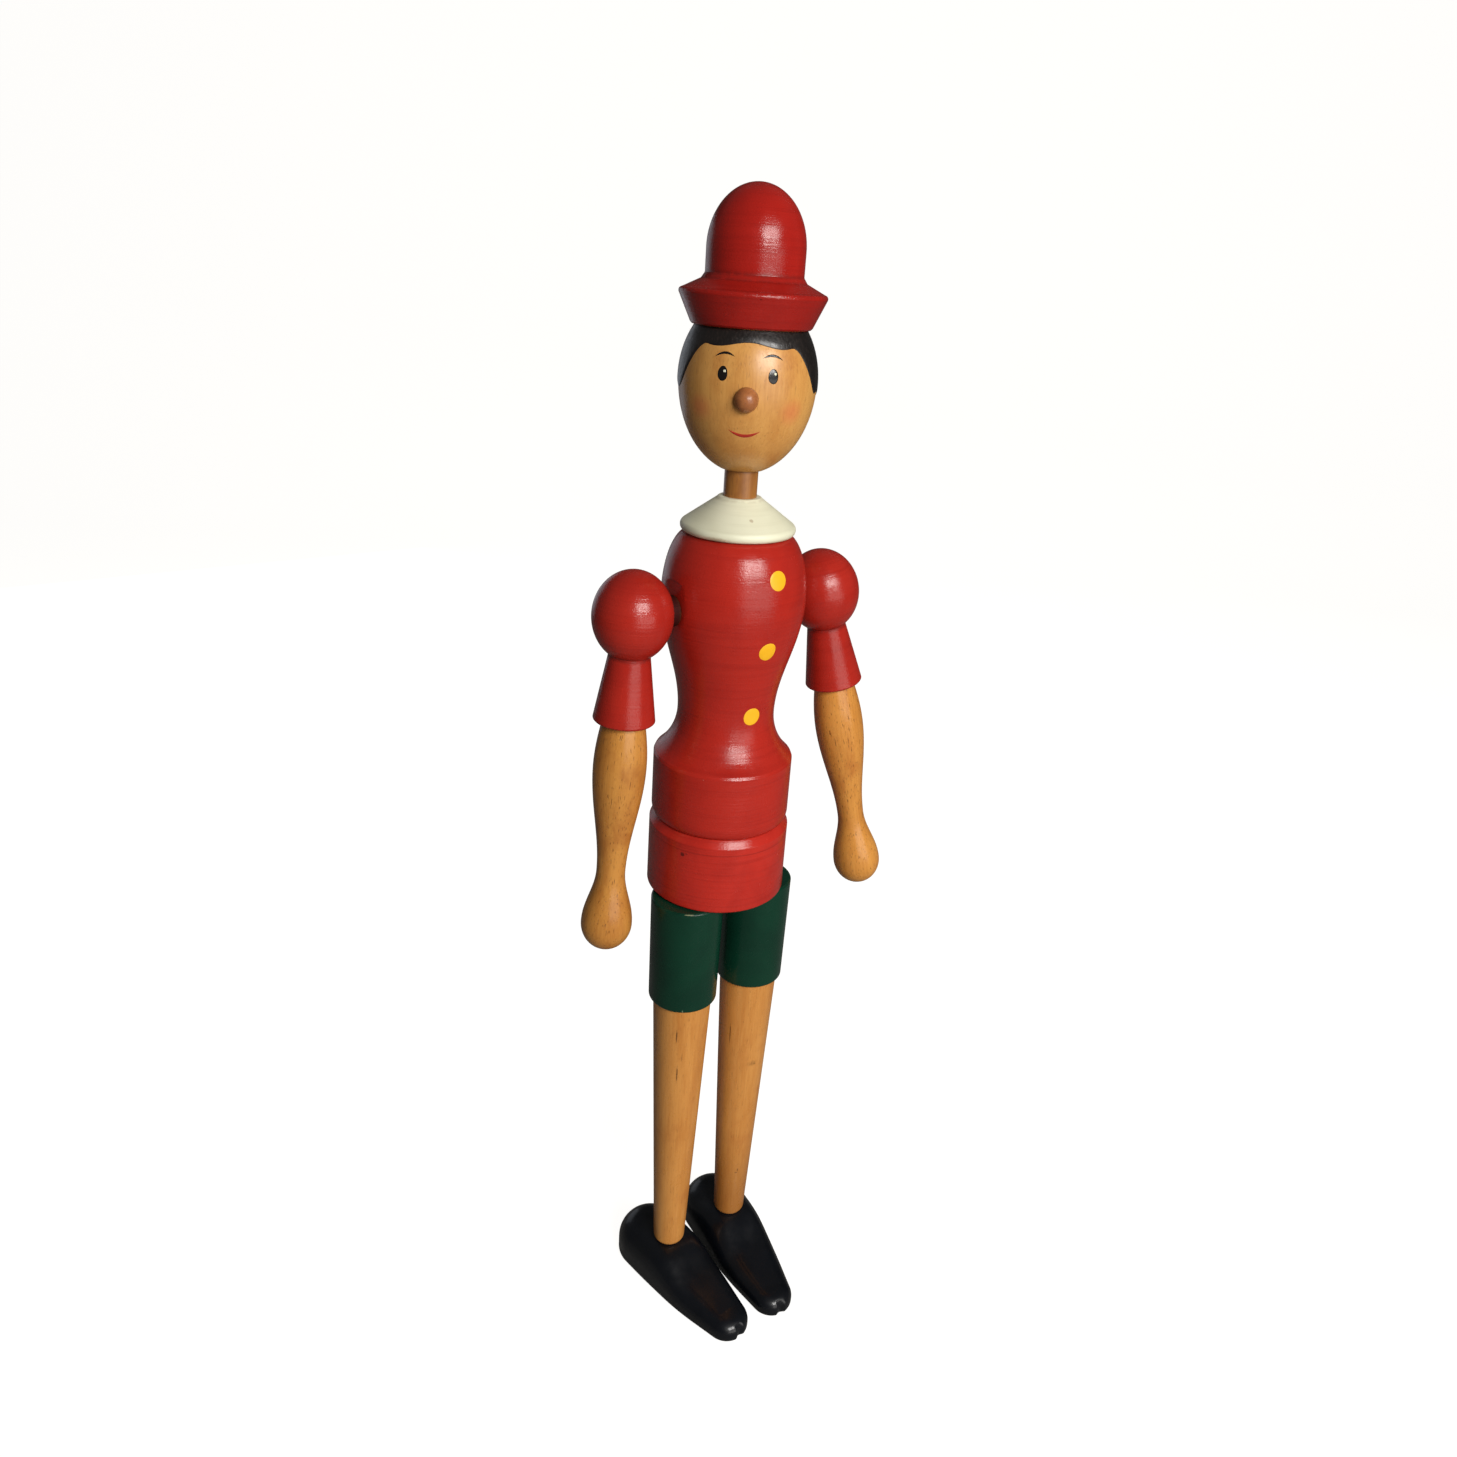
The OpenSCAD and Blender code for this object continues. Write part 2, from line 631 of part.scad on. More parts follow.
hat();
head();
nose_peg();
neck_dowel();
neck_screw();
neck_washer();
collar();
torso();
waist_dowel();
waist_screw();
waist_washer();
hip_block();
shoulder_cord();
upper_arm(1);  // upper_arm_left
upper_arm(-1);  // upper_arm_right
shoulder_peg(1);  // shoulder_peg_left
shoulder_peg(-1);  // shoulder_peg_right
elbow_peg(1);  // elbow_peg_left
elbow_peg(-1);  // elbow_peg_right
forearm(1);  // forearm_left
forearm(-1);  // forearm_right
thigh(1);  // thigh_left
thigh(-1);  // thigh_right
leg_peg(1);  // leg_peg_left
leg_peg(-1);  // leg_peg_right
leg_screw(1);  // leg_screw_left
leg_screw(-1);  // leg_screw_right
leg_washer(1);  // leg_washer_left
leg_washer(-1);  // leg_washer_right
shin(1);  // shin_left
shin(-1);  // shin_right
shoe(1);  // shoe_left
shoe(-1);  // shoe_right
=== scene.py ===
# Jointed turned-wood doll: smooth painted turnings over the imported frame
import json
from math import acos, asin, atan2, cos, degrees, hypot, pi, radians, sin, sqrt

import bmesh
import bpy
from mathutils import Matrix, Vector

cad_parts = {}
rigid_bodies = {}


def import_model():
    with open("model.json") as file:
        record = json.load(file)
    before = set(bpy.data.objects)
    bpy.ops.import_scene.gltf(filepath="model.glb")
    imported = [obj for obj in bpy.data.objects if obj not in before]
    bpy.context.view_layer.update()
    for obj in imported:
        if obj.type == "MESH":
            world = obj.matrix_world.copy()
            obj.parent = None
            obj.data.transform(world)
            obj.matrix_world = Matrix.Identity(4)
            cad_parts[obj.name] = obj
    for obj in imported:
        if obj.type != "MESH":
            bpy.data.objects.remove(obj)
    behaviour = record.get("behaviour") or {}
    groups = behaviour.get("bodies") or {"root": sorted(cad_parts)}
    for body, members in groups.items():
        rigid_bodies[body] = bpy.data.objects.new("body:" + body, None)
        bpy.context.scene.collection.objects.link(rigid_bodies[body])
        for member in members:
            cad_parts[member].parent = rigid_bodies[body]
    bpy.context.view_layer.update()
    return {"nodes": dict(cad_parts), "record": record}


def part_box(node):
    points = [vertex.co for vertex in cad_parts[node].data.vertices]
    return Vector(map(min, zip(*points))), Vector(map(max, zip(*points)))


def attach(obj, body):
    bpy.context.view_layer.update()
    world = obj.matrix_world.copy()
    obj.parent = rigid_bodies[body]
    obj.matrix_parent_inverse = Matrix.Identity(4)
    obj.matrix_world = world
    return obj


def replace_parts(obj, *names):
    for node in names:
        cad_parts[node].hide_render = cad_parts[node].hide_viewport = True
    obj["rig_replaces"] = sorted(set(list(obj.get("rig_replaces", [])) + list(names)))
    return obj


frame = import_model()
bodyOf = {node: body for body, nodes in frame["record"]["behaviour"]["bodies"].items() for node in nodes}
mm = 0.001
scene = bpy.context.scene
sides = ((1, "Left"), (-1, "Right"))  # the doll's own left is +X
print("frame loaded:", len(frame["nodes"]), "nodes")


class Settings(dict):  # the values of one piece or finish, read as settings.name
    __getattr__ = dict.__getitem__


# Camera, from the photograph's viewing angle

shot = Settings(
    azimuth=-36.0, distance=485.0, height=541.711, yaw=-0.238, pitch=22.961, roll=3.92, focalPixels=1090.584,
    imagePixels=1457, sensor=36.0, clipFrom=0.01)


def middleOf(node):
    low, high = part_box(node)
    return (low + high) / 2 / mm


def spanOf(node):
    low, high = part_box(node)
    return low.z / mm, high.z / mm


axisX, axisY = middleOf("hip_block").xy  # the turning axis of the whole body


def makeCamera():
    turn, tip, lean = (radians(v) for v in (shot.azimuth + shot.yaw, shot.pitch, shot.roll))
    ahead = Vector((-sin(turn) * cos(tip), cos(turn) * cos(tip), -sin(tip)))
    side = Vector((cos(turn), sin(turn), 0))
    rise = side.cross(ahead)
    across = cos(lean) * side + sin(lean) * rise
    upward = cos(lean) * rise - sin(lean) * side
    data = bpy.data.cameras.new("photoView")
    data.sensor_fit = "HORIZONTAL"
    data.sensor_width = shot.sensor
    data.lens = shot.focalPixels / shot.imagePixels * shot.sensor
    data.clip_start = shot.clipFrom
    camera = bpy.data.objects.new("photoView", data)
    scene.collection.objects.link(camera)
    place = Matrix((across, upward, -ahead)).transposed().to_4x4()
    stand = radians(shot.azimuth)
    place.translation = Vector((axisX + shot.distance * sin(stand), axisY - shot.distance * cos(stand),
                                shot.height)) * mm
    camera.matrix_world = place
    scene.camera = camera


makeCamera()
print("camera set")


# Node helpers

def paintMix(red, green, blue):  # screen colour, 0 to 255, to the linear value that shaders use
    def straight(v):
        v /= 255
        return v / 12.92 if v <= 0.04045 else ((v + 0.055) / 1.055) ** 2.4
    return (straight(red), straight(green), straight(blue), 1.0)


def connect(tree, node, feed):  # a colour comes as a link or as three screen numbers
    for key, value in feed.items():
        socket = node.inputs[key]
        if isinstance(value, bpy.types.NodeSocket):
            tree.links.new(value, socket)
        else:
            socket.default_value = paintMix(*value) if socket.type == "RGBA" else value


def put(tree, kind, feed=None, **settings):
    made = tree.nodes.new("ShaderNode" + kind)
    for key, value in settings.items():
        setattr(made, key, value)
    connect(tree, made, feed or {})
    return made


def calc(tree, operation, *values, clamp=False):
    return put(tree, "Math", dict(enumerate(values)), operation=operation, use_clamp=clamp).outputs[0]


def times(tree, *values, clamp=False):
    return calc(tree, "MULTIPLY", *values, clamp=clamp)


def plus(tree, *values, clamp=False):
    return calc(tree, "ADD", *values, clamp=clamp)


def vector(tree, operation, *values):
    return put(tree, "VectorMath", dict(enumerate(values)), operation=operation).outputs


def cloud(tree, place, detail=2.0, rough=0.5, warp=0.0, scale=1.0):
    feed = {"Vector": place, "Scale": scale, "Detail": detail, "Roughness": rough, "Distortion": warp}
    return put(tree, "TexNoise", feed).outputs["Fac"]


def drawn(tree, place, across, along, **how):  # a cloud squeezed across the piece and along it
    return cloud(tree, vector(tree, "MULTIPLY", place, (across, across, along))[0], **how)


def between(tree, value, low, high, bottom=0.0, top=1.0):
    feed = {"Value": value, "From Min": low, "From Max": high, "To Min": bottom, "To Max": top}
    return put(tree, "MapRange", feed, interpolation_type="SMOOTHSTEP").outputs["Result"]


def tint(tree, amount, first, second, way="MIX"):
    feed = {0: amount, 6: first, 7: second}
    return put(tree, "Mix", feed, data_type="RGBA", blend_type=way).outputs[2]


def surfaceMark(tree, name):
    return put(tree, "Attribute", attribute_name=name).outputs["Fac"]


def inMillimetres(tree, shifted=True):  # place along the piece's own turning axis
    place = put(tree, "Attribute", attribute_name="turnPlace").outputs["Vector"]
    return vector(tree, "ADD", place, surfaceMark(tree, "pieceShift"))[0] if shifted else place


def packedMillimetres(tree):  # for nodes that stay as packed
    feed = {0: put(tree, "TexCoord").outputs["Object"], "Scale": 1 / mm}
    return put(tree, "VectorMath", feed, operation="SCALE").outputs[0]


def newGroup(name, inward, outward):  # a default of four numbers makes a colour, of three a place
    tree = bpy.data.node_groups.new(name, "ShaderNodeTree")

    def socket(label, way, kind):
        return tree.interface.new_socket(name=label, in_out=way, socket_type="NodeSocket" + kind)

    for label, value in inward.items():
        kind = {3: "Vector", 4: "Color"}[len(value)] if isinstance(value, tuple) else "Float"
        socket(label, "INPUT", kind).default_value = value
    for label in outward:
        socket(label, "OUTPUT", "Color" if label == "Colour" else "Float")
    return tree, tree.nodes.new("NodeGroupInput").outputs, tree.nodes.new("NodeGroupOutput").inputs


def give(tree, out, **results):
    for label, result in results.items():
        tree.links.new(result, out[label])
    return tree


def useGroup(tree, group, look=None, **feed):  # a look feeds every input by its name
    if look:
        labels = [item.name for item in group.interface.items_tree if item.in_out == "INPUT"]
        feed = {label: look[label.lower()] for label in labels}
    return put(tree, "Group", feed, node_tree=group).outputs


# Shared effects

def makeTurningLines():  # the chisel's fine rings round a turning
    tree, given, out = newGroup("turningLines", {"Pitch": 1.6, "Wander": 0.02}, ["Lines"])
    place = put(tree, "SeparateXYZ", {0: inMillimetres(tree)}).outputs
    feed = {way: times(tree, place[way], given["Pitch" if way == "Z" else "Wander"]) for way in "XYZ"}
    rings = put(tree, "CombineXYZ", feed).outputs[0]
    return give(tree, out, Lines=cloud(tree, rings, detail=3.0, rough=0.62))


def makeWoodGrain():
    tree, given, out = newGroup("woodGrain", {
        "Pale": (0.6, 0.3, 0.1, 1), "Deep": (0.4, 0.2, 0.05, 1), "Pore": (0.1, 0.05, 0.02, 1),
        "Flecks": 0.5, "Smudges": 0.4}, ["Colour", "Height", "Dull"])
    place = inMillimetres(tree)
    broad = drawn(tree, place, 0.09, 0.014, detail=3.0, warp=0.4)
    fine = drawn(tree, place, 1.3, 0.03, detail=3.0, rough=0.6)
    figure = plus(tree, times(tree, broad, 0.6), times(tree, fine, 0.4))
    colour = tint(tree, between(tree, figure, 0.34, 0.72), given["Pale"], given["Deep"])
    pores = between(tree, drawn(tree, place, 2.1, 0.24, detail=1.0), 0.63, 0.74)
    pores = times(tree, pores, given["Flecks"])
    colour = tint(tree, pores, colour, given["Pore"])
    handled = drawn(tree, place, 0.055, 0.04, detail=5.0, rough=0.62, warp=0.2)
    smudge = times(tree, between(tree, handled, 0.5, 0.78), given["Smudges"])
    colour = tint(tree, smudge, colour, given["Deep"], "MULTIPLY")
    height = calc(tree, "SUBTRACT", times(tree, fine, 0.5), pores)
    return give(tree, out, Colour=colour, Height=height, Dull=handled)


def makePaintCoat():  # a brushed coat: slow drift of tone, faint brush rings, orange peel
    tree, given, out = newGroup("paintCoat", {
        "Colour": (0.5, 0.05, 0.04, 1), "Deep": (0.3, 0.02, 0.02, 1), "Drift": 0.5, "Rings": 0.2},
        ["Colour", "Height", "Dull"])
    place = inMillimetres(tree)
    slow = between(tree, drawn(tree, place, 0.045, 0.03, detail=3.0, warp=0.5), 0.38, 0.72)
    colour = tint(tree, times(tree, slow, given["Drift"]), given["Colour"], given["Deep"])
    lines = useGroup(tree, turningLines, Pitch=0.6, Wander=0.02)["Lines"]
    brushed = times(tree, between(tree, lines, 0.45, 0.75), given["Rings"])
    colour = tint(tree, brushed, colour, given["Deep"])
    peel = cloud(tree, place, detail=2.0, scale=1.7)
    height = plus(tree, times(tree, lines, 0.7), times(tree, peel, 0.3))
    dull = drawn(tree, place, 0.12, 0.09, detail=4.0, rough=0.6)
    return give(tree, out, Colour=colour, Height=height, Dull=dull)


def makeEdgeWear():  # rubbed edges and dirt left in the grooves
    tree, given, out = newGroup("edgeWear", {"Rubbed": 0.3, "Dirty": 0.5}, ["Worn", "Dirt"])
    patchy = cloud(tree, inMillimetres(tree), detail=4.0, rough=0.65, scale=0.35)
    worn = plus(tree, surfaceMark(tree, "edge"), times(tree, patchy, 1.3))
    rub = between(tree, worn, 1.52, 1.75)
    dirt = times(tree, surfaceMark(tree, "groove"), between(tree, patchy, 0.25, 0.6))
    return give(tree, out, Worn=times(tree, rub, given["Rubbed"], clamp=True),
                Dirt=times(tree, dirt, given["Dirty"], clamp=True))


def makeSpecks():  # dust that dried into the coat
    tree, given, out = newGroup("specks", {"Spacing": 9.0, "Size": 0.28}, ["Specks"])
    feed = {"Vector": inMillimetres(tree), "Scale": calc(tree, "DIVIDE", 1.0, given["Spacing"])}
    cells = put(tree, "TexVoronoi", feed)
    reach = times(tree, cells.outputs["Distance"], given["Spacing"])
    chance = put(tree, "SeparateColor", {0: cells.outputs["Color"]}).outputs[0]
    size = times(tree, given["Size"], between(tree, chance, 0.35, 1.0))
    return give(tree, out, Specks=calc(tree, "LESS_THAN", reach, size))


def makeSpot():  # one mark at a place on a piece, in millimetres along its own axes
    tree, given, out = newGroup("spot", {"Centre": (0, 0, 0), "Reach": (1, 1, 1), "Ragged": 0.5, "Soft": 0.3},
                                ["Mask"])
    place = inMillimetres(tree, shifted=False)
    away = vector(tree, "SUBTRACT", place, given["Centre"])[0]
    away = vector(tree, "LENGTH", vector(tree, "DIVIDE", away, given["Reach"])[0])["Value"]
    torn = calc(tree, "SUBTRACT", cloud(tree, place, detail=3.0, scale=0.9), 0.5)
    away = plus(tree, away, times(tree, torn, given["Ragged"]))
    edge = calc(tree, "SUBTRACT", 1.0, given["Soft"])
    return give(tree, out, Mask=calc(tree, "SUBTRACT", 1.0, between(tree, away, edge, 1.0)))


turningLines = makeTurningLines()
woodGrain = makeWoodGrain()
paintCoat = makePaintCoat()
edgeWear = makeEdgeWear()
specks = makeSpecks()
spot = makeSpot()
print("shared effects made")


# Finishes

def startFinish(name):
    material = bpy.data.materials.new(name)
    material.use_nodes = True
    return material, material.node_tree, material.node_tree.nodes["Principled BSDF"]


def setShader(tree, shader, colour, rough, height, depth, **fixed):
    bump = put(tree, "Bump", {"Height": height, "Strength": 1.0, "Distance": depth * mm}).outputs[0]
    connect(tree, shader, {"Base Color": colour, "Roughness": rough, "Normal": bump})
    connect(tree, shader, {key.replace("_", " "): value for key, value in fixed.items()})


def mark(centre, reach, colour, strength=1.0, soft=0.35, ragged=0.6):
    return Settings(centre=centre, reach=reach, colour=colour, strength=strength, soft=soft, ragged=ragged)


def addMarks(tree, colour, marks):
    for m in marks:
        mask = useGroup(tree, spot, m)["Mask"]
        colour = tint(tree, times(tree, mask, m.strength), colour, m.colour)
    return colour


def makePaint(name, look, marks=()):
    material, tree, shader = startFinish(name)
    coat = useGroup(tree, paintCoat, look)
    wear = useGroup(tree, edgeWear, look)
    dust = useGroup(tree, specks, Spacing=look.speckSpacing, Size=look.speckSize)["Specks"]
    colour = tint(tree, wear["Dirt"], coat["Colour"], look.dirt)
    colour = tint(tree, wear["Worn"], colour, look.under)
    colour = tint(tree, times(tree, dust, 0.6), colour, look.speck)
    colour = addMarks(tree, colour, marks)
    rough = between(tree, coat["Dull"], 0.3, 0.7, look.smooth, look.dull)
    rough = plus(tree, rough, times(tree, wear["Dirt"], 0.25), clamp=True)
    height = calc(tree, "SUBTRACT", plus(tree, coat["Height"], times(tree, dust, 0.8)), wear["Worn"])
    setShader(tree, shader, colour, rough, height, look.relief, Specular_IOR_Level=look.specular,
              Coat_Weight=look.coat, Coat_Roughness=look.coatRough)
    return material


def makeWood(name, look, marks=()):
    material, tree, shader = startFinish(name)
    grain = useGroup(tree, woodGrain, look)
    wear = useGroup(tree, edgeWear, look)
    lines = useGroup(tree, turningLines, Pitch=1.1, Wander=0.05)["Lines"]
    colour = tint(tree, wear["Dirt"], grain["Colour"], look.dirt)
    colour = tint(tree, wear["Worn"], colour, look.bare)
    colour = addMarks(tree, colour, marks)
    rough = between(tree, grain["Dull"], 0.3, 0.72, look.smooth, look.dull)
    height = plus(tree, grain["Height"], times(tree, lines, 0.5))
    setShader(tree, shader, colour, rough, height, look.relief, Specular_IOR_Level=look.specular)
    return material


redLook = Settings(  # colours here are screen values, 0 to 255
    colour=(175, 39, 28), deep=(150, 28, 21), drift=0.5, rings=0.4, rubbed=0.3, under=(128, 22, 17),
    dirty=0.6, dirt=(92, 18, 15), speck=(220, 120, 104), speckSpacing=14.0, speckSize=0.26, smooth=0.17,
    dull=0.28, relief=0.22, specular=0.38, coat=0.0, coatRough=0.12)
greenLook = Settings(
    redLook, colour=(10, 53, 37), deep=(7, 42, 30), drift=0.6, rings=0.2, rubbed=0.25, under=(8, 30, 22),
    dirty=0.4, dirt=(8, 24, 19), speck=(80, 120, 100), speckSize=0.2, smooth=0.2, dull=0.3, relief=0.05,
    specular=0.28)
blackLook = Settings(
    redLook, colour=(9, 12, 18), deep=(7, 9, 13), drift=0.7, rings=0.0, rubbed=0.12, under=(32, 34, 37),
    dirty=0.4, dirt=(16, 18, 21), speck=(96, 96, 94), speckSize=0.2, smooth=0.3, dull=0.44, relief=0.05,
    specular=0.27, coat=0.35)
creamLook = Settings(
    redLook, colour=(230, 229, 202), deep=(214, 212, 182), rings=0.5, under=(178, 156, 112), dirty=0.9,
    dirt=(140, 112, 78), speck=(150, 126, 96), speckSpacing=9.0, smooth=0.38, dull=0.55, relief=0.05)
yellowLook = Settings(
    redLook, colour=(244, 184, 34), deep=(232, 166, 22), drift=0.6, rings=0.1, rubbed=0.0,
    under=(200, 150, 30), dirty=0.0, dirt=(160, 110, 30), speck=(180, 130, 40), smooth=0.25, dull=0.4,
    relief=0.02)
woodLook = Settings(
    pale=(206, 144, 74), deep=(182, 116, 50), pore=(108, 62, 24), flecks=0.55, smudges=0.35, rubbed=0.25,
    bare=(220, 170, 104), dirty=0.55, dirt=(104, 60, 26), smooth=0.24, dull=0.4, relief=0.045, specular=0.45)


# Outlines for turning, as lists of (radius, height) in millimetres, walked upwards on the outside

def bow(radius, height, wide, tall, first, last, steps=18):
    angles = [radians(first + (last - first) * i / steps) for i in range(steps + 1)]
    return [(radius + wide * cos(a), height + tall * sin(a)) for a in angles]


def sway(r0, z0, r1, z1, steps=30):
    return [(r0 + (r1 - r0) * (1 - cos(pi * i / steps)) / 2, z0 + (z1 - z0) * i / steps)
            for i in range(steps + 1)]


def swell(r0, z0, r1, z1, steps=20):
    return [(r0 + (r1 - r0) * sin(pi / 2 * i / steps), z0 + (z1 - z0) * i / steps) for i in range(steps + 1)]


broken = 0.8  # taken off both sides of an edge


def lowEdge(radius, height):
    return [(radius - broken, height), (radius, height + broken)]


def highEdge(radius, height):
    return [(radius, height - broken), (radius - broken, height)]


def turnAt(before, here, after):
    ax, az, bx, bz = here[0] - before[0], here[1] - before[1], after[0] - here[0], after[1] - here[1]
    return atan2(ax * bz - az * bx, ax * bx + az * bz)


def plain(outline, apart=0.02):  # leaves out points that lie on each other
    kept = [outline[0]]
    for point in outline[1:]:
        if hypot(point[0] - kept[-1][0], point[1] - kept[-1][1]) > apart:
            kept.append(point)
    return kept


def softened(outline, radius, steps=6):  # every sharp corner gets a small round
    sharpFrom, share = radians(14), 0.45  # a round takes no more than this share of a side
    outline = plain(outline)
    done = [outline[0]]
    for before, here, after in zip(outline, outline[1:], outline[2:]):
        turn = abs(turnAt(before, here, after))
        if turn < sharpFrom:
            done.append(here)
            continue
        back, on = (hypot(here[0] - p[0], here[1] - p[1]) for p in (before, after))
        cut = min(radius * sin(turn / 2) / cos(turn / 2), back * share, on * share)
        start = [h + (p - h) * cut / back for h, p in zip(here, before)]
        end = [h + (p - h) * cut / on for h, p in zip(here, after)]
        for i in range(steps + 1):
            t = i / steps
            done.append(tuple((1 - t) ** 2 * s + 2 * t * (1 - t) * h + t * t * e
                              for s, h, e in zip(start, here, end)))
    return done + [outline[-1]]


def filledIn(outline, step):
    done = [outline[0]]
    for (r0, z0), (r1, z1) in zip(outline, outline[1:]):
        parts = max(1, int(hypot(r1 - r0, z1 - z0) / step + 0.999))
        done += [(r0 + (r1 - r0) * i / parts, z0 + (z1 - z0) * i / parts) for i in range(1, parts + 1)]
    return done


def bends(loop, reach=1.3, fullEdge=0.9, fullGroove=0.6):  # outward and inward turn near each point
    total, turns, along = len(loop), [], [0.0]
    for i in range(total):
        before, here, after = loop[i - 1], loop[i], loop[(i + 1) % total]
        turns.append(0.0 if here[0] < 0.01 else turnAt(before, here, after))
        along.append(along[-1] + hypot(after[0] - here[0], after[1] - here[1]))
    edges, grooves = [], []
    for i in range(total):
        edge = groove = 0.0
        for j in range(total):
            near = 1 - abs(along[i] - along[j]) / reach
            if near > 0:
                edge += max(turns[j], 0) * near
                groove += max(-turns[j], 0) * near
        edges.append(min(1.0, edge / fullEdge))
        grooves.append(min(1.0, groove / fullGroove))
    return edges, grooves


def radiusAt(outline, height):
    for (r0, z0), (r1, z1) in zip(outline, outline[1:]):
        if min(z0, z1) <= height <= max(z0, z1) and abs(z1 - z0) > 1e-6:
            return r0 + (r1 - r0) * (height - z0) / (z1 - z0)
    raise ValueError(height)


# Meshes

def setMarks(mesh, marks):
    for name, values in marks.items():
        mesh.attributes.new(name, "FLOAT", "POINT").data.foreach_set("value", values)


def meshFrom(name, bm, marks=None):
    bmesh.ops.recalc_face_normals(bm, faces=bm.faces)
    mesh = bpy.data.meshes.new(name)
    bm.to_mesh(mesh)
    bm.free()
    setMarks(mesh, marks or {})
    return mesh


def skin(bm, pairs, closed=True):  # faces between neighbouring rows; a row of one point makes a tip
    for low, high in pairs:
        count = max(len(low), len(high))
        for k in range(count if closed else count - 1):
            n = (k + 1) % count
            corners = [low[k % len(low)], low[n % len(low)], high[n % len(high)], high[k % len(high)]]
            corners = list(dict.fromkeys(corners))
            if len(corners) > 2:
                bm.faces.new(corners)


def turnedMesh(name, outside, inside=(), soft=0.5, step=1.5, around=96):
    loop = filledIn(softened(outside, soft), step) + list(inside)
    edges, grooves = bends(loop)
    bm = bmesh.new()
    rings, edgeMarks, grooveMarks = [], [], []
    for (radius, height), edge, groove in zip(loop, edges, grooves):
        count = 1 if radius < 0.01 else around
        turns = [2 * pi * k / around for k in range(count)]
        out = radius * mm
        rings.append([bm.verts.new((out * sin(a), -out * cos(a), height * mm)) for a in turns])
        edgeMarks += [edge] * count
        grooveMarks += [groove] * count
    pairs = list(zip(rings, rings[1:]))
    if len(rings[0]) > 1 and len(rings[-1]) > 1:
        pairs.append((rings[-1], rings[0]))  # a piece bored right through
    skin(bm, pairs)
    return meshFrom(name, bm, {"edge": edgeMarks, "groove": grooveMarks})


def cutAway(piece, cutters):  # leaves the piece with the cutters' shapes taken out
    for cutter in cutters:
        change = piece.modifiers.new("cut", "BOOLEAN")
        change.operation, change.solver, change.object = "DIFFERENCE", "EXACT", cutter
    bpy.context.view_layer.update()
    shown = piece.evaluated_get(bpy.context.evaluated_depsgraph_get())
    mesh = bpy.data.meshes.new_from_object(shown)
    piece.modifiers.clear()
    piece.data = mesh
    for cutter in cutters:
        bpy.data.objects.remove(cutter)


def placed(name, mesh, place):
    piece = bpy.data.objects.new(name, mesh)
    scene.collection.objects.link(piece)
    piece.matrix_world = place
    return piece


def turnedPiece(name, place, *outline, **how):
    return placed(name, turnedMesh(name, *outline, **how), place)


past, seam = 1.0, 0.02  # millimetres: how far cutters run past a face, and between faces that would touch


def rodCutter(radius, low, high, place):
    outside = [(0, low), (radius, low), (radius, high), (0, high)]
    return turnedPiece("cutter", place, outside, soft=0.01, step=50.0, around=64)


def finishPiece(piece, material, body, nodes=(), shift=0.0, sharp=40.0):
    mesh = piece.data
    places = [v / mm for vert in mesh.vertices for v in vert.co]
    mesh.attributes.new("turnPlace", "FLOAT_VECTOR", "POINT").data.foreach_set("vector", places)
    mesh.transform(piece.matrix_world)  # the mesh then lies in the row frame, as a node's does
    piece.matrix_world = Matrix.Identity(4)
    mesh.materials.clear()
    mesh.materials.append(material)
    mesh.shade_smooth()
    mesh.set_sharp_from_angle(angle=radians(sharp))
    for name in ("edge", "groove"):
        if name not in mesh.attributes:
            setMarks(mesh, {name: [0.0] * len(mesh.vertices)})
    setMarks(mesh, {"pieceShift": [shift] * len(mesh.vertices)})
    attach(piece, body)
    if nodes:
        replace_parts(piece, *nodes)
    return piece


def finishNode(piece, material, node, shift):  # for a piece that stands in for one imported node
    finishPiece(piece, material, bodyOf[node], [node], shift)


def finishSide(side, make, material, node, shape):
    word = dict(sides)[side]
    finishNode(make(side, word), material, node + word.lower(), shape.shift[side])


def at(x, y, z):
    return Matrix.Translation(Vector((x, y, z)) * mm)


def turned(axis, angle):
    return Matrix.Rotation(radians(angle), 4, axis)


def onAxis(z=0.0):
    return at(axisX, axisY, z)


# Hat

hatFoot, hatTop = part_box("head")[1].z / mm, spanOf("hat")[1]
hatShape = Settings(
    foot=25.7, brim=31.0, brimUp=12.5, rim=1.5, rimArc=(-30, 80), rise=6.0, crown=20.5, side=11.0, dome=25.0,
    spigot=8.5, spigotDeep=9.0, faces=-36.0, soft=0.9, shift=11.0)


def headPlace(z=0.0):
    return onAxis(z) @ turned("Z", hatShape.faces)


def hatOutline():
    s = hatShape
    rimUp, crownUp = s.brimUp, s.brimUp + s.rise
    return ([(0, -s.spigotDeep), (s.spigot, -s.spigotDeep), (s.spigot, 0)]
            + lowEdge(s.foot, 0)
            + bow(s.brim - s.rim, rimUp, s.rim, s.rim, *s.rimArc)
            + [(s.crown + s.rim, crownUp - s.rim / 2), (s.crown, crownUp + s.rim)]
            + bow(0, crownUp + s.side, s.crown, s.dome, 0, 90, 28))


# the hat's red is painted darker than the jacket's: painted shade for the top of the doll
redHat = makePaint("redHatPaint", Settings(redLook, colour=(162, 29, 21), deep=(138, 22, 17)), [
    mark((-9.0, -22.0, 30.0), (1.1, 1.1, 0.5), (206, 110, 96)),
    mark((12.0, -16.0, 38.0), (0.6, 0.6, 0.6), (214, 130, 112)),
    mark((3.0, -30.0, 11.5), (0.7, 0.9, 0.4), (96, 18, 16))])
hat = turnedPiece("hatTurned", headPlace(hatFoot), hatOutline(), soft=hatShape.soft)
finishNode(hat, redHat, "hat", hatShape.shift)
print("hat done, top", round(hatTop, 1))


# Head, nose and neck

